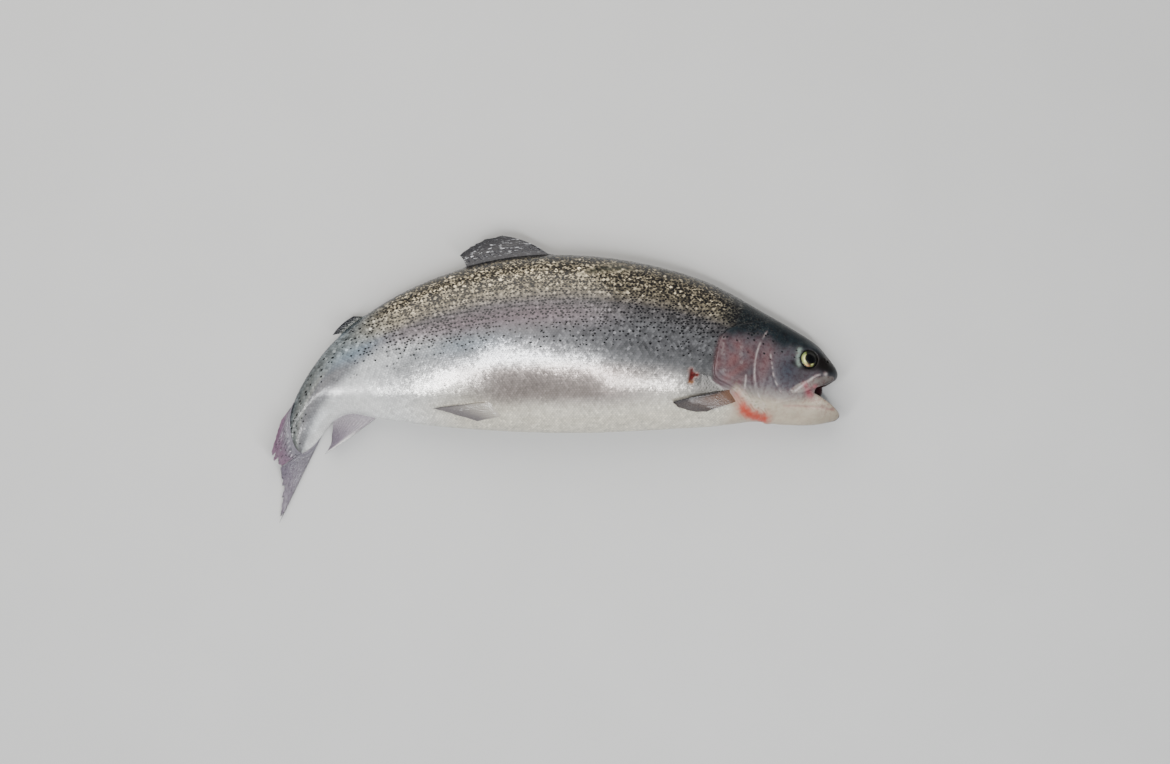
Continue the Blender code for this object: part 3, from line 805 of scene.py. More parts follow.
def skin_mesh():
    """Points, quads and triangles of the head's net and the trunk's rings, zipped together."""
    head_points, head_quads, loop = head_mesh()
    trunk_points, trunk_quads, cap, ring = trunk_mesh(len(head_points))
    points = np.concatenate([head_points, trunk_points])
    strip = zip_loops(*by_turn(points, loop), *by_turn(points, ring))
    return points, np.concatenate([head_quads, trunk_quads]), np.concatenate([strip, cap])


# ---- colour of the flesh

BLACK = np.zeros(3)
BACK_OLIVE = colour(46, 45, 40)
# the back's cream, partly painted glints of its sunlit scales
BACK_CREAM_GLINT = colour(214, 199, 168)
BACK_GREY = colour(112, 108, 108)
FLANK_GREY = colour(122, 122, 124)
FLANK_SILVER = colour(152, 152, 153)
LOW_SILVER = colour(186, 182, 177)
# painted shade of the lower flank, below the bright band
LOW_FLANK_SHADE = colour(136, 126, 121)
REAR_SILVER = colour(226, 227, 226)
BELLY_CREAM = colour(208, 202, 186)
PINK_BAND = colour(134, 104, 116)
STALK_TEAL = colour(118, 136, 148)
HEAD_DARK = colour(22, 29, 33)
CHEEK_GREY = colour(86, 81, 86)
CHEEK_PINK = colour(112, 80, 81)
CHEEK_PALE = colour(140, 133, 127)
JAW_CREAM = colour(184, 172, 152)
DARK_PATCH = colour(56, 62, 72)
SNOUT_BROWN = colour(20, 17, 15)
GILL_NET = colour(120, 124, 104)
MOUTH_RED = colour(34, 4, 9)
LIP_PINK = colour(158, 84, 94)
THROAT_RED = colour(182, 66, 50)
# pale bone and membrane, also used for painted highlights on the head's ridges
BONE_WHITE_AND_HIGHLIGHT = colour(206, 198, 194)
# pale green behind the eye, partly a painted highlight
ORBIT_GREEN_SHEEN = colour(142, 160, 150)
FLESH_CUT = colour(92, 14, 12)
CUT_BROWN = colour(142, 96, 58)
CUT_MARGIN = colour(150, 112, 100)
SCAR_DARK = colour(34, 38, 32)
TRUNK_TONES = (  # from the belly to the back, by the share of the height
    (-1.0, BELLY_CREAM), (-0.7, BELLY_CREAM), (-0.38, LOW_SILVER), (-0.14, FLANK_SILVER),
    # the back's cream tones partly paint the glints of its sunlit scales
    (0.06, FLANK_GREY * 1.15), (0.28, FLANK_GREY), (0.48, BACK_GREY), (0.66, BACK_CREAM_GLINT * 0.7),
    (0.80, BACK_CREAM_GLINT), (0.93, BACK_CREAM_GLINT * 0.6), (1.0, BACK_OLIVE),
)


def trunk_colour(s, h):
    """Colour of the scaled body from its place along the fish and its share of the height, with
    painted shade behind the gill cover, on the lower flank and over the upper flank's rear.
    """
    heights, tones = zip(*TRUNK_TONES)
    paint = np.stack([np.interp(h, heights, part) for part in np.transpose(tones)], axis=-1)
    # painted shade behind the gill cover, reaching down to the pectoral fin
    front = fall(s, 130, 300) * ramp(h, -0.55, -0.12)
    low_front_shade = fall(s, 113, 152) * ramp(h, -0.75, -0.5) * (1.65 - 0.6 * ramp(h, -0.35, -0.08))
    front = np.maximum(front, low_front_shade)
    pale = ramp(s, 318, 392) * fall(h + 0.4 * ramp(s, 385, 440), 0.15, 0.5)
    stalk = ramp(s, 362, 415) * ramp(h - 0.22 * ramp(s, 400, 440), 0.1, 0.5)
    return layered(
        paint,
        # painted shade behind the gill cover
        (BLACK, front * (0.40 + 0.15 * ramp(h, 0.5, 0.7))),
        # painted shade on the lower flank below the bright band
        (LOW_FLANK_SHADE, 0.9 * span(s, 124, 200, 285, 345) * span(-h, 0.15, 0.32, 0.55, 0.8)),
        (PINK_BAND, 0.45 * bell(h, 0.33, 0.13) * span(s, 170, 260, 350, 420)),
        (STALK_TEAL * 1.1, 0.4 * bell(h, 0.08, 0.14) * span(s, 255, 330, 395, 430)),
        (REAR_SILVER, pale * (0.85 - 0.25 * ramp(s, 395, 440) * ramp(h, -0.5, 0.1))),
        # painted shade over the rear of the upper flank and back
        (BLACK, 0.36 * dab(s, h, (300, 0.31), (78, 0.24))
                + 0.20 * dab(s, h, (322, 0.68), (48, 0.16))),
        (STALK_TEAL * (1 - 0.4 * ramp(s, 410, 450))[..., None], 0.8 * stalk),
        (BLACK, 0.45 * ramp(s, 350, 385) * ramp(h, 0.55, 0.8)),
        (HEAD_DARK * 1.6, 0.8 * fall(s, 98, 124) * ramp(h, 0.35, 0.7)))


def head_colour(s, v):
    """Colour of the bare head: dark crown, pink cheeks with painted shade on the gill cover, and pale
    jaw, then its marks.
    """
    patch = 0.65 + 0.5 * (np.sin(0.33 * s + 1.9 * np.sin(0.17 * v + 1.0))
                          * np.sin(0.24 * v + 1.2 * np.sin(0.21 * s)))
    low = table_value(((-10, 30), (16, 0), (22, -4), (34, -11), (46, -15), (60, -17), (80, -21),
                       (118, -34)), s)
    uneven = 1.2 * np.sin(0.5 * s + 0.9 * np.sin(0.31 * v)) * np.sin(0.23 * s + 1.3)
    crown = v - uneven - table_value(((6, 15), (20, 17.5), (29, 27), (36, 30), (46, 28),
                                      (60, 26), (73, 30), (88, 28), (100, 24), (118, 23)), s)
    paint = layered(
        CHEEK_GREY,
        (CHEEK_PINK, patch * dab(s, v, (92, 0), (18, 24))),
        # painted shade on the lower part of the gill cover
        (BLACK, 0.26 * dab(s, v, (86, -4), (15, 10))),
        (CHEEK_PINK * 0.72, 0.5 * ramp(s, 98, 106) * ramp(v, -16, -4)),
        (CHEEK_PINK, 0.6 * dab(s, v, (68, 8), (5, 16))),
        (DARK_PATCH, 0.85 * dab(s, v, (48, 7), (9, 12))),
        (CHEEK_GREY * 0.55, 0.6 * dab(s, v, (37, 7), (8, 8))),
        (CHEEK_PALE, 0.8 * fall(v - low, -1, 9)),
        (JAW_CREAM, fall(v - low, -9, 1)),
        (HEAD_DARK * 1.6, ramp(crown, -9.0, 4.0)),
        (HEAD_DARK, ramp(crown, -1.0, 12.0)),
        (SNOUT_BROWN, 1.3 * dab(s, v, (22, 23), (9, 7))))
    return jaw_marks(cheek_marks(paint, s, v), s, v)


def cheek_marks(paint, s, v):
    """Rings and wedge of the eye, a pale patch behind it and pale bone edges, both partly painted
    highlights, and the gill cover's streaks of painted highlight.
    """
    eyelid = bell(np.hypot(s - EYE_PLACE[0], v - EYE_PLACE[1]), 7.4, 1.1)
    ridge, along, _ = path_distance(PREOPERCLE, s, v)
    broken = np.sin(along * 12 + 2 * np.sin(along * 7)) ** 2
    line, line_along, _ = path_distance(CHEEK_LINE, s, v)
    paint = layered(
        paint,
        (SNOUT_BROWN, 0.75 * stroke(((46, 14.5), (38, 13.2), (30, 14.6), (24, 18.5), (14, 20)),
                                    s, v, 2.3)),
        # pale green patch behind the eye, partly a painted highlight
        (ORBIT_GREEN_SHEEN, 0.75 * stroke(((44.6, 26.5), (44.2, 23), (42.8, 18), (41.2, 15)),
                                    s, v, 2.0)),
        (SNOUT_BROWN, 0.9 * eyelid * (1 - 0.6 * (s > 36))),
        # pale line along the preopercle, partly a painted highlight on its ridge
        (BONE_WHITE_AND_HIGHLIGHT, 0.48 * bell(ridge, 0, 0.55) * broken),
        (BONE_WHITE_AND_HIGHLIGHT, 0.45 * bell(line, 0, 0.6) * np.sin(line_along * 17) ** 2),
        (BONE_WHITE_AND_HIGHLIGHT, 0.5 * stroke(((81, -7), (80.4, -10), (79.2, -17.5)), s, v, 0.7)))
    # pale streaks on the gill cover: painted highlights
    for streak in (((92, 20), (89.6, 11), (87.2, 2.5)), ((105.6, 19), (104.6, 8), (100, -7))):
        gap, along, _ = path_distance(streak, s, v)
        gap = gap + 0.5 * np.sin(1.9 * v) + 0.3 * np.sin(3.1 * s)
        faded = np.sin(along * 4 + np.sin(0.6 * v)) ** 2
        paint = layered(paint, (BONE_WHITE_AND_HIGHLIGHT * 0.8, 0.22 * bell(gap, 0.3, 1.0) * faded))
    return paint


def jaw_marks(paint, s, v):
    """Gill fringe, upper jaw bone with a painted highlight on its upper edge, pink lips, red throat
    and painted shadow along the gill cover's edge.
    """
    fringe, _, _ = path_distance(((86, -20), (80, -22.5), (71, -27), (58, -31)), s, v)
    net = np.sin(1.0 * s + 2.2 * np.sin(0.7 * v)) * np.sin(1.1 * v + 1.8 * np.sin(0.5 * s))
    bone = strip_field(MAXILLA, s, v)
    bone_tone = layered(CHEEK_PALE * 0.6, (CHEEK_PALE * 1.05, ramp(s, 18, 30)))
    bone_edge_highlight = stroke(((21, 13), (24.8, 10.5), (30.8, 2.5), (37.0, -7)), s, v, 0.8)
    lip = stroke(((8, 13), (12, 8.8), (15.6, 4.4)), s, v, 1.8)
    throat, along, _ = path_distance(((84, -25), (78, -31), (70, -37), (55, -38)), s, v)
    ragged = throat + 1.1 * np.sin(0.9 * s + 1.3 * np.sin(0.7 * v)) * np.sin(0.8 * v)
    red = bell(ragged, 0, 5.6) * (0.40 + 0.60 * ramp(along, 0.15, 0.5)) * fall(-v, 39, 45)
    pinks = ((22.8, 1.6, 2.2), (24.0, -6.6, 3.4), (31.0, 0.4, 2.4), (27.0, -3.5, 3.0))
    return layered(
        paint,
        (BONE_WHITE_AND_HIGHLIGHT * (0.95, 1.0, 0.85), 0.65 * bell(fringe, 0, 2.6)),
        (GILL_NET, 0.55 * ramp(net, 0.0, 0.8) * bell(fringe, 1, 6)),
        (LIP_PINK * 0.8, 0.35 * stroke(JAW_GROOVE, s, v, 1.2)),
        (bone_tone, 0.85 * fall(bone, -0.8, 0.6)),
        # painted highlight along the maxilla's upper edge
        (BONE_WHITE_AND_HIGHLIGHT, 0.75 * bone_edge_highlight * ramp(s, 20, 25)),
        (BONE_WHITE_AND_HIGHLIGHT, 0.6 * dab(s, v, (18, 14.6), (1.6, 1.6))),
        (SNOUT_BROWN * 2.5, 0.7 * lip * (v > -2)),
        *((LIP_PINK, 0.7 * dab(s, v, (x, y), (reach, reach))) for x, y, reach in pinks),
        (THROAT_RED, 0.95 * red),
        (BLACK, 0.28 * fall(s, 4, 26) * (v < -4)),
        # painted shadow along the gill cover's edge
        (SNOUT_BROWN * 2, 0.3 * bell(gill_field(s, v), 1.2, 0.9) * (v > -17)))


def wound_gap(s, v):
    """Distance to the small wound above the pectoral fin."""
    main, arm = (path_distance(path, s, v)[0] for path in (WOUND, WOUND_ARM))
    return smin(main, arm + 0.2, 0.6) + 0.35 * np.sin(2.3 * s + 1.1) * np.sin(1.9 * v)


def flesh_looks(points, inwards):
    """Paint, spots, silver and bareness of skin or scale points that lie so far inwards."""
    s, v, w = np.moveaxis(points, -1, 0)
    right = w > 0
    h = v / np.maximum(height_at(s, v), 1.0)
    start, edge = table_value(COAT_START, v), 1.5 + 7.0 * ramp(-v, 22, 40)
    trunk = ramp(s, start - edge, start + edge)
    head = 1 - trunk
    inner = ramp(inwards, 1.6, 3.2) * (s < 40)
    scar, along, _ = path_distance(BACK_SCAR, s, v)
    width = 4.2 * np.sin(np.pi * np.clip(along, 0.03, 0.97)) ** 0.7
    width = width * (0.65 + 0.55 * np.sin(along * 41 + 1.3 * v) * np.sin(along * 13 + 0.5))
    wound = wound_gap(s, v)
    cut = layered(FLESH_CUT, (CUT_BROWN, fall(v, -22.2, -20.2)),
                  (FLESH_CUT * 0.3, dab(s, v, (124, -16), (1.3, 1.3))))
    paint = layered(head_colour(s, v), (trunk_colour(s, h), trunk), (MOUTH_RED, inner),
                    (SCAR_DARK, 0.9 * fall(scar, width - 1.0, width + 1.0) * right),
                    (CUT_MARGIN, 0.5 * fall(wound, 2.2, 3.6) * right),
                    (cut, fall(wound, 1.7, 2.3) * right))
    spots = 0.20 * ramp(h, -0.12, 0.05) + 0.42 * ramp(h, 0.08, 0.4) + 0.30 * ramp(h, 0.5, 0.85)
    crown = 0.12 * ramp(h, 0.05, 0.5) + 0.35 * ramp(h, 0.45, 0.7) * ramp(s, 60, 85)
    spots = spots * (1 - 0.78 * ramp(s, 352, 418)) * trunk + crown * ramp(s, 30, 45) * head
    spots = np.where(scar < width + 1.0, 0, spots) * (1 - inner)
    silver = (trunk * (0.03 + 0.67 * bell(h, -0.2, 0.45)) + 0.04 * head) * (1 - inner)
    silver = silver * (1 - 0.65 * ramp(s, 368, 428)) * ramp(h, -0.98, -0.6)
    silver = silver * np.where(right, ramp(wound, 1.8, 3), 1) - fall(wound, 1.6, 2.4) * right
    return dict(paint=paint, spots=spots, silver=silver,
                bare=head * (0.3 + 0.7 * ramp(v, -24, -6)), flat=points)


def add_skin(material):
    straight, quads, triangles = skin_mesh()
    s, v, w = straight.T
    field = ring_field(v, w, np.maximum(back(s), 0.2), np.maximum(belly(s), 0.2), half_width(s),
                       ROUNDNESS)
    looks = flesh_looks(straight, -field)
    skin = add_piece("skin", to_rest(straight, lowest=0.3), [quads, triangles], material)
    # painted shade on the skin where the scales cover it, less along the belly's lowest line
    under = ramp(s - table_value(COAT_START, v), 0, 6)
    seam = ramp(-v / np.maximum(belly(s), 1), 0.90, 0.97)
    looks["paint"] = layered(looks["paint"], (BLACK, 0.35 * under * (1 - seam)))
    girth = girth_at(s, angle_at(np.minimum(s, LAST_SECTION), v))
    set_attributes(skin, **looks, lattice=lattice_place(s, girth, np.sign(w)))
    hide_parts("head", "lower_jaw", "tongue", "maxilla_right", "maxilla_left",
                "gill_cover_right", "gill_cover_left", "trunk_front", "trunk_rear", "tail_stalk")


# ---- scales

STATIONS = np.arange(80.0, 500.0, 2.0)
GIRTHS = np.arange(-135.0, 136.0, 1.0)
HALF_TURNS = np.linspace(0, math.pi, 400)


def girth_tables():
    """At each station, the turn at each girth, and the girth at each turn.

    A girth is a distance round the section from the lateral line, upwards.
    """
    turn_rows, arc_rows = [], []
    for s in STATIONS:
        ring = section_point(np.full(HALF_TURNS.shape, min(s, LAST_SECTION)), HALF_TURNS)
        arc = np.append(0, np.cumsum(np.hypot(np.diff(ring[:, 1]), np.diff(ring[:, 2]))))
        line = angle_at(np.array(s), table_value(LATERAL_LINE, s))
        from_line = np.interp(line, HALF_TURNS, arc) - arc
        turn_rows.append(np.interp(GIRTHS, from_line[::-1], HALF_TURNS[::-1]))
        arc_rows.append(from_line)
    return np.array(turn_rows), np.array(arc_rows)


TURN_TABLE, ARC_TABLE = girth_tables()


def between_stations(table, s, column):
    """Value of a table by stations and columns, straight between its entries."""
    i = np.clip((s - STATIONS[0]) / (STATIONS[1] - STATIONS[0]), 0, len(table) - 1.001)
    j = np.clip(column, 0, table.shape[1] - 1.001)
    i0, j0 = i.astype(int), j.astype(int)
    a, b = i - i0, j - j0
    return (table[i0, j0] * (1 - a) * (1 - b) + table[i0 + 1, j0] * a * (1 - b)
            + table[i0, j0 + 1] * (1 - a) * b + table[i0 + 1, j0 + 1] * a * b)


def turn_at(s, girth):
    return between_stations(TURN_TABLE, s, girth - GIRTHS[0])


def girth_at(s, turn):
    return between_stations(ARC_TABLE, s, turn / math.pi * (len(HALF_TURNS) - 1))


def lattice_place(s, girth, side):
    """Place on the scales' slanting lattice, the same for the skin under them."""
    row, column = girth / SCALE_ROW, (s - COAT_FRONT) / (SCALE_SPACING / 2)
    across = (column + row) / 2 + LEFT_LATTICE * (side < 0)
    return np.stack([across, (column - row) / 2, 0 * s], axis=-1)


def scale_roots():
    """Places of the scales of one flank: along the fish and round it, in offset rows."""
    column, row = np.meshgrid(np.arange(0, 310), np.arange(-70, 70), indexing="ij")
    keep = (column + row) % 2 == 0
    s, girth = COAT_FRONT + column[keep] * SCALE_SPACING / 2, row[keep] * SCALE_ROW
    low, high = (np.interp(s, STATIONS, ARC_TABLE[:, end]) for end in (-1, 0))
    v = section_point(s, turn_at(s, girth))[:, 1]
    reach, width = COAT_TAIL
    end = TAIL_END_START + reach * np.sqrt(np.clip(1 - (girth / width) ** 2, 0, 1))
    inside = (girth > low + 0.5) & (girth < high + 0.4) & (s > table_value(COAT_START, v))
    inside &= s < end
    return s[inside], girth[inside], v[inside]


def set_bake_map(piece, place):
    """The bake map, from a place on it for each vertex."""
    corner = np.zeros(len(piece.data.loops), np.int32)
    piece.data.loops.foreach_get("vertex_index", corner)
    layer = piece.data.uv_layers.new(name="OFBake")
    layer.data.foreach_set("uv", place.reshape(-1, 2)[corner].astype(np.float32).ravel())


def place_scales(s, girth, v):
    """Offsets of each scale's corners, their places along and round the fish, and their rise."""
    def draw(reach):
        return RNG.uniform(-reach, reach, s.shape)

    half = np.array(SCALE_SHAPE)
    shape = np.concatenate([half, half[:0:-1] * (1, -1, 1), [SCALE_MIDDLE]])
    size = 1.0 + draw(0.06)
    size *= 0.94 + 0.06 * ramp(s, 88, 130) - 0.10 * ramp(s, 400, 470)
    loose = (0.50 + 0.50 * ramp(v / height_at(s, v), 0.15, 0.6)) * stalk_calm(s)
    tilt = draw(0.10) * loose
    lean = 1 + draw(0.35) * loose
    x, y = shape[:, 0] * size, shape[:, 1] * size
    return x, y, s + x + draw(0.15), girth + y + draw(0.12), shape[:, 2] * lean + tilt * y / 2


def stalk_calm(s):
    """The tail stalk's scales lie closer and glitter less."""
    return 1 - 0.5 * ramp(s, 365, 425)


def glitter(straight, s, rim):
    """How much brighter or darker than the skin's paint each scale is, and each of its corners:
    random tones that partly paint the scales' glints, painted shade on each top's rim and below it,
    and a painted highlight in its middle.
    """
    place = straight[..., 0]
    h = straight[..., 1] / np.maximum(back(place), 1)
    rear = ramp(place, 275, 335) * bell(h, 0.22, 0.30)
    sparkle = (0.10 + 0.40 * ramp(h, 0.35, 0.75) + 0.08 * rear
               + 0.18 * fall(place, 190, 280) * span(h, -0.25, 0.1, 0.38, 0.6))
    # painted shade on the rim and underside, painted highlight in the middle
    heart = np.repeat((-0.3, 1.0, -0.7), (rim, 1, rim))  # the top's rim, its middle, below
    bright = (0.22 + 0.23 * ramp(h, 0.3, 0.7) + 0.26 * rear) * stalk_calm(s)
    tone = RNG.normal(0, 1, s.shape) - 0.3
    return np.exp(sparkle * stalk_calm(s) * tone) * (1 + bright * heart)


def scale_faces(count, rim, side):
    """Tops, walls and undersides of scales numbered top rim, middle, lower rim."""
    i = np.arange(rim)
    after = np.roll(i, -1)
    fan = np.stack([i, after, np.full(rim, rim)], axis=1)
    wall = np.stack([i, i + rim + 1, after + rim + 1, after], axis=1)
    floor = (i[::-1] + rim + 1)[None]
    base = np.arange(count)[:, None, None] * (2 * rim + 1)
    return [(base + part[:, ::side]).reshape(-1, part.shape[1]) for part in (fan, wall, floor)]


def add_scales(name, s, girth, v, side, material):
    """One joined mesh of closed scales, following the flank and leaning towards the tail."""
    s, girth, v = s[:, None], girth[:, None], v[:, None]
    x, y, along, round_it, rise = place_scales(s, girth, v)
    rim = x.shape[1] - 1
    corner = np.append(np.arange(rim + 1), np.arange(rim))  # the top, then the underside
    drop = np.repeat((0.0, SCALE_THICKNESS), (rim + 1, rim))
    surface = section_point(np.minimum(along, LAST_SECTION), turn_at(along, round_it))
    rise = rise + fin_foot(surface) - coat_inset(surface[..., 0])
    normal = section_normal(surface)[:, corner]
    straight = surface[:, corner] + normal * (rise[:, corner] - drop)[..., None]
    straight[..., 2] *= side
    looks = flesh_looks(straight, np.zeros(straight.shape[:2]))
    # each scale's painted glints and shade
    looks["paint"] = looks["paint"] * glitter(straight, s, rim)[..., None]
    points = to_rest(straight, lowest=0.02).reshape(-1, 3)
    faces = scale_faces(len(s), rim, side)
    piece = add_piece(name, points, faces, material, smooth=False)
    lattice = lattice_place(along[:, corner], round_it[:, corner], side)
    set_attributes(piece, **looks, lattice=lattice)
    band = (girth + MAP_GIRTH / 2) / MAP_GIRTH * MAP_HEIGHT + MAP_BAND[side]
    island = [(s - MAP_START) / MAP_LENGTH + MAP_PER_MM * x, band + MAP_PER_MM * y]
    set_bake_map(piece, np.stack(island, axis=-1)[:, corner])


def add_coat(material):
    roots = scale_roots()
    s, _, v = roots
    wound = wound_gap(s, v)
    for side_name, side in (("right", 1), ("left", -1)):
        keep = (wound > 1.8) | (side < 0)
        for part_name, chosen in (("front", s < COAT_SPLIT), ("rear", s >= COAT_SPLIT)):
            part = (values[keep & chosen] for values in roots)
            add_scales(f"scales_{side_name}_{part_name}", *part, side, material)


# ---- eyes

def eye_paint(radius, pupil, rise, rear, painted_light, front):
    """Dark pupil in a golden and green iris, by the distances from the eye's middle; the iris has
    painted light at its rear and below and painted shade at its front and top.
    """
    rim_dark = colour(16, 16, 14)
    return layered(
        colour(20, 20, 15),
        (colour(196, 200, 122), painted_light),
        (colour(92, 128, 72), 0.7 * ramp(rise, 1.0, 4.5) * painted_light),
        (colour(84, 104, 60), 0.7 * bell(radius, 6.2, 0.9) * painted_light),
        (colour(210, 164, 120), dab(rear, rise, (-0.6, -5.3), (2.2, 1.6))),
        (colour(226, 224, 160), bell(radius, pupil + 0.4, 0.3) * painted_light),
        (rim_dark, ramp(radius, 6.1, 6.9)),
        (colour(4, 4, 5), fall(radius, pupil - 0.15, pupil + 0.2)),
        (rim_dark, ~front))


def add_eye(side_name, side, material):
    """Eyeball with a dark, forward-pointed pupil, a golden iris and a bulging lens."""
    centre, *axes = eye_axes()
    rings, spokes = 44, 72
    polar = np.linspace(0, math.pi, rings + 2)[1:-1]
    p = np.concatenate([[0.0], np.repeat(polar, spokes), [math.pi]])
    around = np.tile(np.linspace(0, 2 * math.pi, spokes, endpoint=False), rings)
    q = np.concatenate([[0.0], around, [0.0]])
    front = p < math.pi / 2
    radius = np.sin(p) * EYE_RADIUS
    pupil = PUPIL_RADIUS * (1 + 0.30 * np.clip(np.cos(q), 0, 1) ** 3)
    height = np.cos(p) * EYE_BULGE - 0.45 * front * bell(radius, pupil + 1.3, 1.2)
    height += 0.25 * front * fall(radius, pupil - 0.6, pupil)
    local = np.stack([radius * np.cos(q), radius * np.sin(q), height], axis=1)
    straight = centre + local @ np.array(axes)
    straight[:, 2] *= side
    rear, rise = (straight - centre)[:, :2].T
    streak = 0.8 * dab(rear, rise, (-4.4, -2.6), (0.9, 2.0))
    # painted light on the iris at its rear and below; its front and top stay dark as painted shade
    painted_light = np.maximum(ramp(rear - 0.45 * rise, 0.0, 3.4), streak)
    last = len(p) - 1
    near, far = 1 + np.arange(spokes), last - spokes + np.arange(spokes)
    caps = [np.stack([np.zeros(spokes, int), near, np.roll(near, -1)], axis=1),
            np.stack([np.full(spokes, last), np.roll(far, -1), far], axis=1)]
    groups = [grid_quads(rings, spokes, 1, closed=True), np.concatenate(caps)]
    groups = [group[:, ::side] for group in groups]
    eye = add_piece("wet_eye_" + side_name, to_rest(straight), groups, material)
    shine = 0.4 * ramp(radius, pupil, pupil + 0.3) * painted_light * fall(radius, 6.0, 6.7) * front
    set_attributes(eye, paint=eye_paint(radius, pupil, rise, rear, painted_light, front), silver=shine,
                   flat=local * (1, 1, 0))
    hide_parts("eye_" + side_name)


# ---- fins

def ray_values(rays, t):
    """Values of a fin's rays at the fraction t from its first ray to its last."""
    table = tuple((i / (len(rays) - 1), *ray) for i, ray in enumerate(rays))
    return [table_value(table, t, column) for column in range(1, len(rays[0]) + 1)]


def back_root(s):
    return s, back(s)


def belly_root(s):
    return s, -belly(s)


def upper_root(degrees):
    """Place on the rounded end of the tail, by the angle from the back to the tip."""
    angle, power = np.radians(degrees), 2 / TAIL_END_ROUNDNESS
    v = back(np.array(TAIL_END_START)) * np.cos(angle) ** power
    return TAIL_END_START + TAIL_END_LENGTH * np.sin(angle) ** power, v


def lower_root(degrees):
    s, v = upper_root(degrees)
    return s, -v


def middle_fin(rays, root, bulge=0.0):
    """Places of a fin on the fish's middle plane, whose rays start at root(first value)."""
    def place(t, r):
        first, tail, out, up = ray_values(rays, t)
        s, v = root(first)
        swell = 1 + bulge * (1 - np.clip(r, 0, 1)) * (r > 0)
        lift = np.stack([tail * r, out * r * swell, up * r * np.abs(r)], axis=-1)
        return to_rest(np.stack([s, v, 0 * s], axis=-1), lift, 0.4)
    return place


def flank_fin(rays, side, lift_at_tip):
    """Places of a paired fin that lies along the flank."""
    def place(t, r):
        s0, v0, s1, v1 = ray_values(rays, t)
        lift = 3.2 * ramp(r, FIN_ROOT, 0.20) - 2.4 + lift_at_tip * np.maximum(r, 0)
        point = flank_point(s0 + (s1 - s0) * r, v0 + (v1 - v0) * r, side, lift)
        return to_rest(point, lowest=0.5)
    return place


def fin_fray(t, count, depth, seed):
    """How far each ray reaches: notched between rays and worn unevenly."""
    wear = np.random.default_rng(seed).uniform(0, 1, count + 3)
    uneven = np.interp(t * (count + 2), np.arange(count + 3), wear)
    notch = 0.5 - 0.5 * np.cos(2 * np.pi * t * count * 2)
    return 1.0 + depth * (0.4 - 0.75 * uneven - 0.15 * notch)


def comb(t, count):
    """One at each of count even steps and nought half way between them."""
    return 0.5 + 0.5 * np.cos(2 * np.pi * t * count)


def fin_quads(columns, rows):
    """Both faces of a fan of points and the wall round its margin."""
    face, total = grid_quads(columns, rows), columns * rows
    rim = np.concatenate([np.arange(rows), np.arange(1, columns) * rows + rows - 1,
                          (columns - 1) * rows + np.arange(rows - 2, -1, -1),
                          np.arange(columns - 2, 0, -1) * rows])
    after = np.roll(rim, -1)
    wall = np.stack([rim, after, after + total, rim + total], axis=1)
    return np.concatenate([face, face[:, ::-1] + total, wall])


def add_fin(name, place, material, paint, rays, seed, size, fray=0.05, spots=0.0, glints=0.0,
            root=1.7, foot=2.0, ridge=0.6, leading=0.7):
    """A closed, rayed fan from place(t, r), with branching rays and a worn margin.

    size is its length for the grain and spots; glints is the strength of its painted glints; root,
    foot and leading are thicknesses.
    """
    columns, rows = rays * 10 + 1, 34
    t, r = np.meshgrid(np.linspace(0, 1, columns), np.linspace(FIN_ROOT, 1, rows), indexing="ij")
    middle = place(t, np.where(r > 0, r * fin_fray(t, rays, fray, seed), r))
    normal = np.cross(np.gradient(middle, axis=1), np.gradient(middle, axis=0))
    normal /= np.maximum(np.linalg.norm(normal, axis=-1, keepdims=True), 1e-12)
    forking = ramp(r, 0.35, 0.7)
    crest = comb(t, rays) * (1 - forking) + comb(t + 0.25 / rays, rays * 2) * forking
    joints = 1 - 0.15 * comb(r, 26) * ramp(r, 0.3, 0.5)
    strong = ridge * ramp(r, 0.03, 0.28)
    body = root * (1 - np.clip(r, 0, 1)) ** 1.3 + 0.32
    thickness = (body * (1.1 - strong * (1 - crest ** 1.5 * joints)) + foot * fall(r, FIN_ROOT, 0.10)
                 + leading * bell(t, 0.0, 0.03) * (1 - r * 0.6))
    offset = normal * (thickness / 2 * MM)[..., None]
    points = np.stack([middle + offset, middle - offset]).reshape(-1, 3)
    points[:, 2] = np.maximum(points[:, 2], 0.1 * MM)
    fin = add_piece(name, points, [fin_quads(columns, rows)], material)
    flat = np.stack([t * size * 0.8, r * size, 0 * t + seed * 9], axis=-1)
    looks = dict(paint=paint(t, r) * (1.1 - 0.6 * strong * (1 - crest))[..., None],
                 spots=spots * ramp(r, 0.05, 0.2),
                 # the silver attribute carries the painted glints along the rays
                 silver=glints * bell(r, 0.5, 0.25) * (0.3 + 0.7 * crest),
                 flat=flat, lattice=flat * 0.36)
    set_attributes(fin, **{key: np.stack([values] * 2) for key, values in looks.items()})
    node = name.split("_", 1)[1]
    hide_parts(node)


def two_tone(root, tip, edge=None, edge_width=0.05, edge_start=0.25):
    """Paint that runs from the root's colour to the tip's, with its own leading edge."""
    def paint(t, r):
        tones = layered(root, (tip, ramp(r, 0.1, 0.9)))
        if edge is None:
            return tones
        return layered(tones, (edge, bell(t, 0.0, edge_width)
                               * ramp(r, edge_start, edge_start + 0.35)))
    return paint


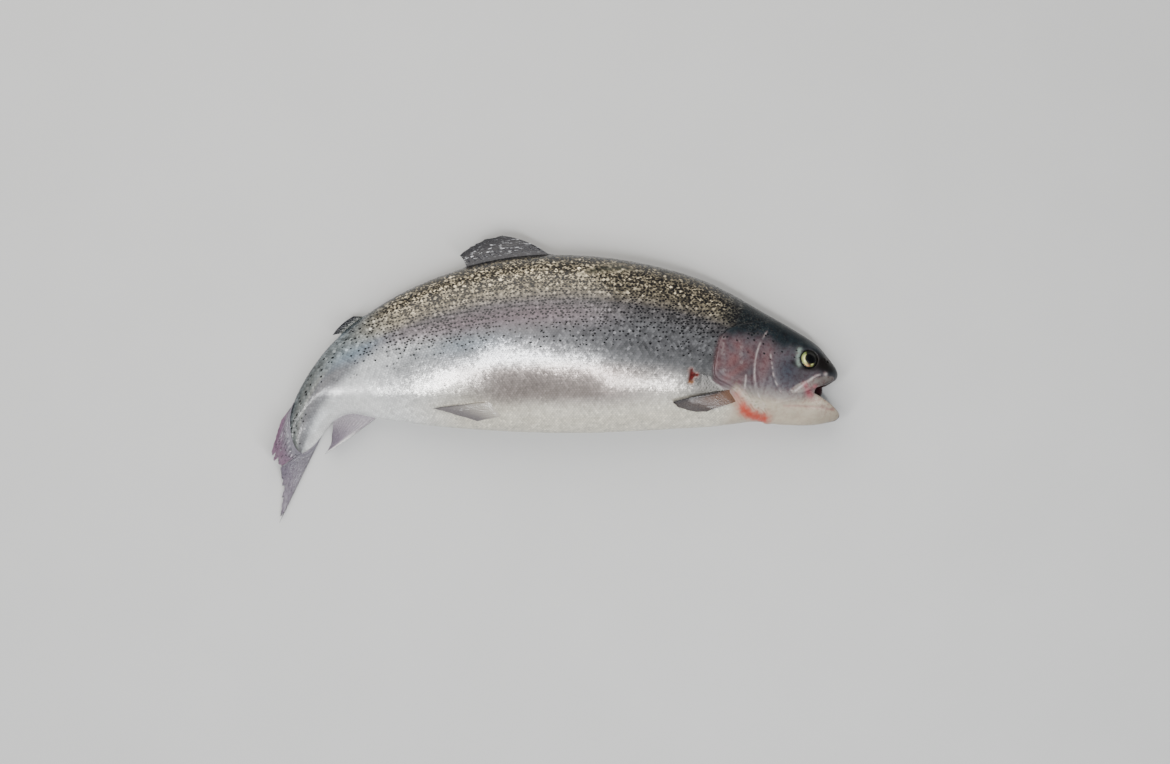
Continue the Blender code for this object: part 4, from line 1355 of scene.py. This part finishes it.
def add_fins(material):
    slate, plum, mauve = colour(26, 25, 33), colour(18, 17, 25), colour(128, 98, 120)
    lilac, grey_violet, violet = colour(156, 149, 156), colour(116, 112, 120), colour(104, 94, 108)
    white, ash, chalk = colour(214, 212, 210), colour(88, 84, 84), colour(168, 162, 152)
    brown, umber, soot = colour(124, 92, 74), colour(74, 65, 61), colour(34, 26, 27)
    moss = colour(50, 54, 50)
    add_fin("rayed_dorsal_fin", middle_fin(DORSAL_RAYS, back_root, bulge=0.7), material,
            two_tone(slate, plum, slate), rays=13, seed=3, size=48, fray=0.10, spots=0.6,
            glints=1.6)
    add_fin("fleshy_adipose_fin", middle_fin(ADIPOSE_RAYS, back_root), material,
            two_tone(moss, plum), rays=6, seed=5, size=12, fray=0.03, root=2.0, ridge=0.2)
    add_fin("rayed_anal_fin", middle_fin(ANAL_RAYS, belly_root, bulge=0.25), material,
            two_tone(lilac * 0.95, violet * 1.15, white * 1.2, 0.11), rays=12, seed=8, size=46,
            fray=0.04, ridge=0.35, leading=1.2)
    add_fin("rayed_caudal_fin_upper", middle_fin(UPPER_LOBE_RAYS, upper_root), material,
            two_tone(grey_violet, mauve), rays=11, seed=11, size=40, fray=0.35, spots=0.3,
            glints=0.3)
    add_fin("rayed_caudal_fin_lower", middle_fin(LOWER_LOBE_RAYS, lower_root), material,
            two_tone(grey_violet * 1.1, violet, ash), rays=13, seed=12, size=66, fray=0.17,
            spots=0.2, glints=0.4)
    paired = dict(size=52, root=1.1, foot=0.0, ridge=0.3)
    for side_name, side, lift in (("right", 1, 2.0), ("left", -1, 0.3)):
        add_fin("rayed_pectoral_fin_" + side_name, flank_fin(PECTORAL_RAYS, side, lift),
                material, two_tone(brown * 0.7, umber * 0.8, soot, 0.17, 0.02), rays=12,
                seed=14, spots=0.12, **paired)
        add_fin("rayed_pelvic_fin_" + side_name, flank_fin(PELVIC_RAYS, side, lift), material,
                two_tone(chalk, ash * 1.5, ash, 0.08), rays=9, seed=15, **paired)


# ---- floor, light and camera

def add_floor():
    mesh = bpy.data.meshes.new("floor")
    corners = [(x * FLOOR_REACH, y * FLOOR_REACH, 0) for x, y in ((-1, -1), (1, -1), (1, 1), (-1, 1))]
    mesh.from_pydata(corners, [], [(0, 1, 2, 3)])
    mesh.materials.append(floor_material())
    floor = new_object("floor", mesh)


def add_lamp(name, place, rotation, size, watts, tint=(1, 1, 1)):
    data = bpy.data.lights.new(name, "AREA")
    data.shape = "RECTANGLE"
    data.size, data.size_y = size
    data.energy, data.color = watts, tint
    lamp = new_object(name, data)
    lamp.location, lamp.rotation_euler = place, rotation


def add_lights():
    """A dim sky, two lamps aimed at the fish, and an arch of long lamps above it."""
    world = bpy.data.worlds.new("studio")
    world.use_nodes = True
    sky = world.node_tree.nodes["Background"].inputs
    sky["Color"].default_value = (0.80, 0.88, 1.0, 1)
    sky["Strength"].default_value = 0.24
    bpy.context.scene.world = world
    low, high = CAD_BOX
    middle = (low + high) / 2
    for name, away, size, watts, tint in (
            ("key", (-0.30, 0.95, 1.25), (1.8, 1.8), 25, (1.0, 0.96, 0.90)),
            ("fill", (0.5, -1.2, 0.9), (1.0, 0.8), 4, (0.90, 0.95, 1.0))):
        aim = (-Vector(away)).to_track_quat("-Z", "Y").to_euler()
        add_lamp(name, middle + Vector(away), aim, size, watts, tint)
    for i, (start, end) in enumerate(zip(LAMP_ARCH, LAMP_ARCH[1:])):
        start, end = Vector(start), Vector(end)
        reach = end - start
        place = middle + ((start + end) / 2).to_3d() + Vector((0, 0, ARCH_HEIGHT))
        watts = ARCH_GLOW * math.pi * reach.length * ARCH_WIDTH
        add_lamp(f"arch_{i}", place, (0.0, 0.0, math.atan2(reach.y, reach.x)),
                 (reach.length, ARCH_WIDTH), watts)


def add_camera():
    """Straight above the resting fish, at the photograph's distance and framing."""
    low, high = CAD_BOX
    length = high.x - low.x
    data = bpy.data.cameras.new("camera")
    data.sensor_width = 36.0
    data.lens = data.sensor_width * CAMERA_DISTANCE / (length * CAMERA_VIEW)
    camera = new_object("camera", data)
    camera.location = ((low.x + high.x) / 2 + length * CAMERA_SHIFT[0],
                       (low.y + high.y) / 2 + length * CAMERA_SHIFT[1],
                       high.z * 0.5 + CAMERA_DISTANCE)
    bpy.context.scene.camera = camera


def place_origin():
    """Match the straight-fish axis to the frame by the right eye's box."""
    global ORIGIN
    low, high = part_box("eye_right")
    middle = (np.array(low) + np.array(high)) / 2
    ORIGIN = (middle - to_rest(eye_axes()[0])) * (1, 1, 0)


def write_sizes():
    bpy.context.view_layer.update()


def main():
    place_origin()
    add_skin(flesh_material("wet_flesh", 0.0))
    add_coat(flesh_material("wet_scales", 0.35))
    eye = eye_material()
    for side_name, side in (("right", 1), ("left", -1)):
        add_eye(side_name, side, eye)
    add_fins(fin_material())
    add_floor()
    add_lights()
    add_camera()
    write_sizes()


main()
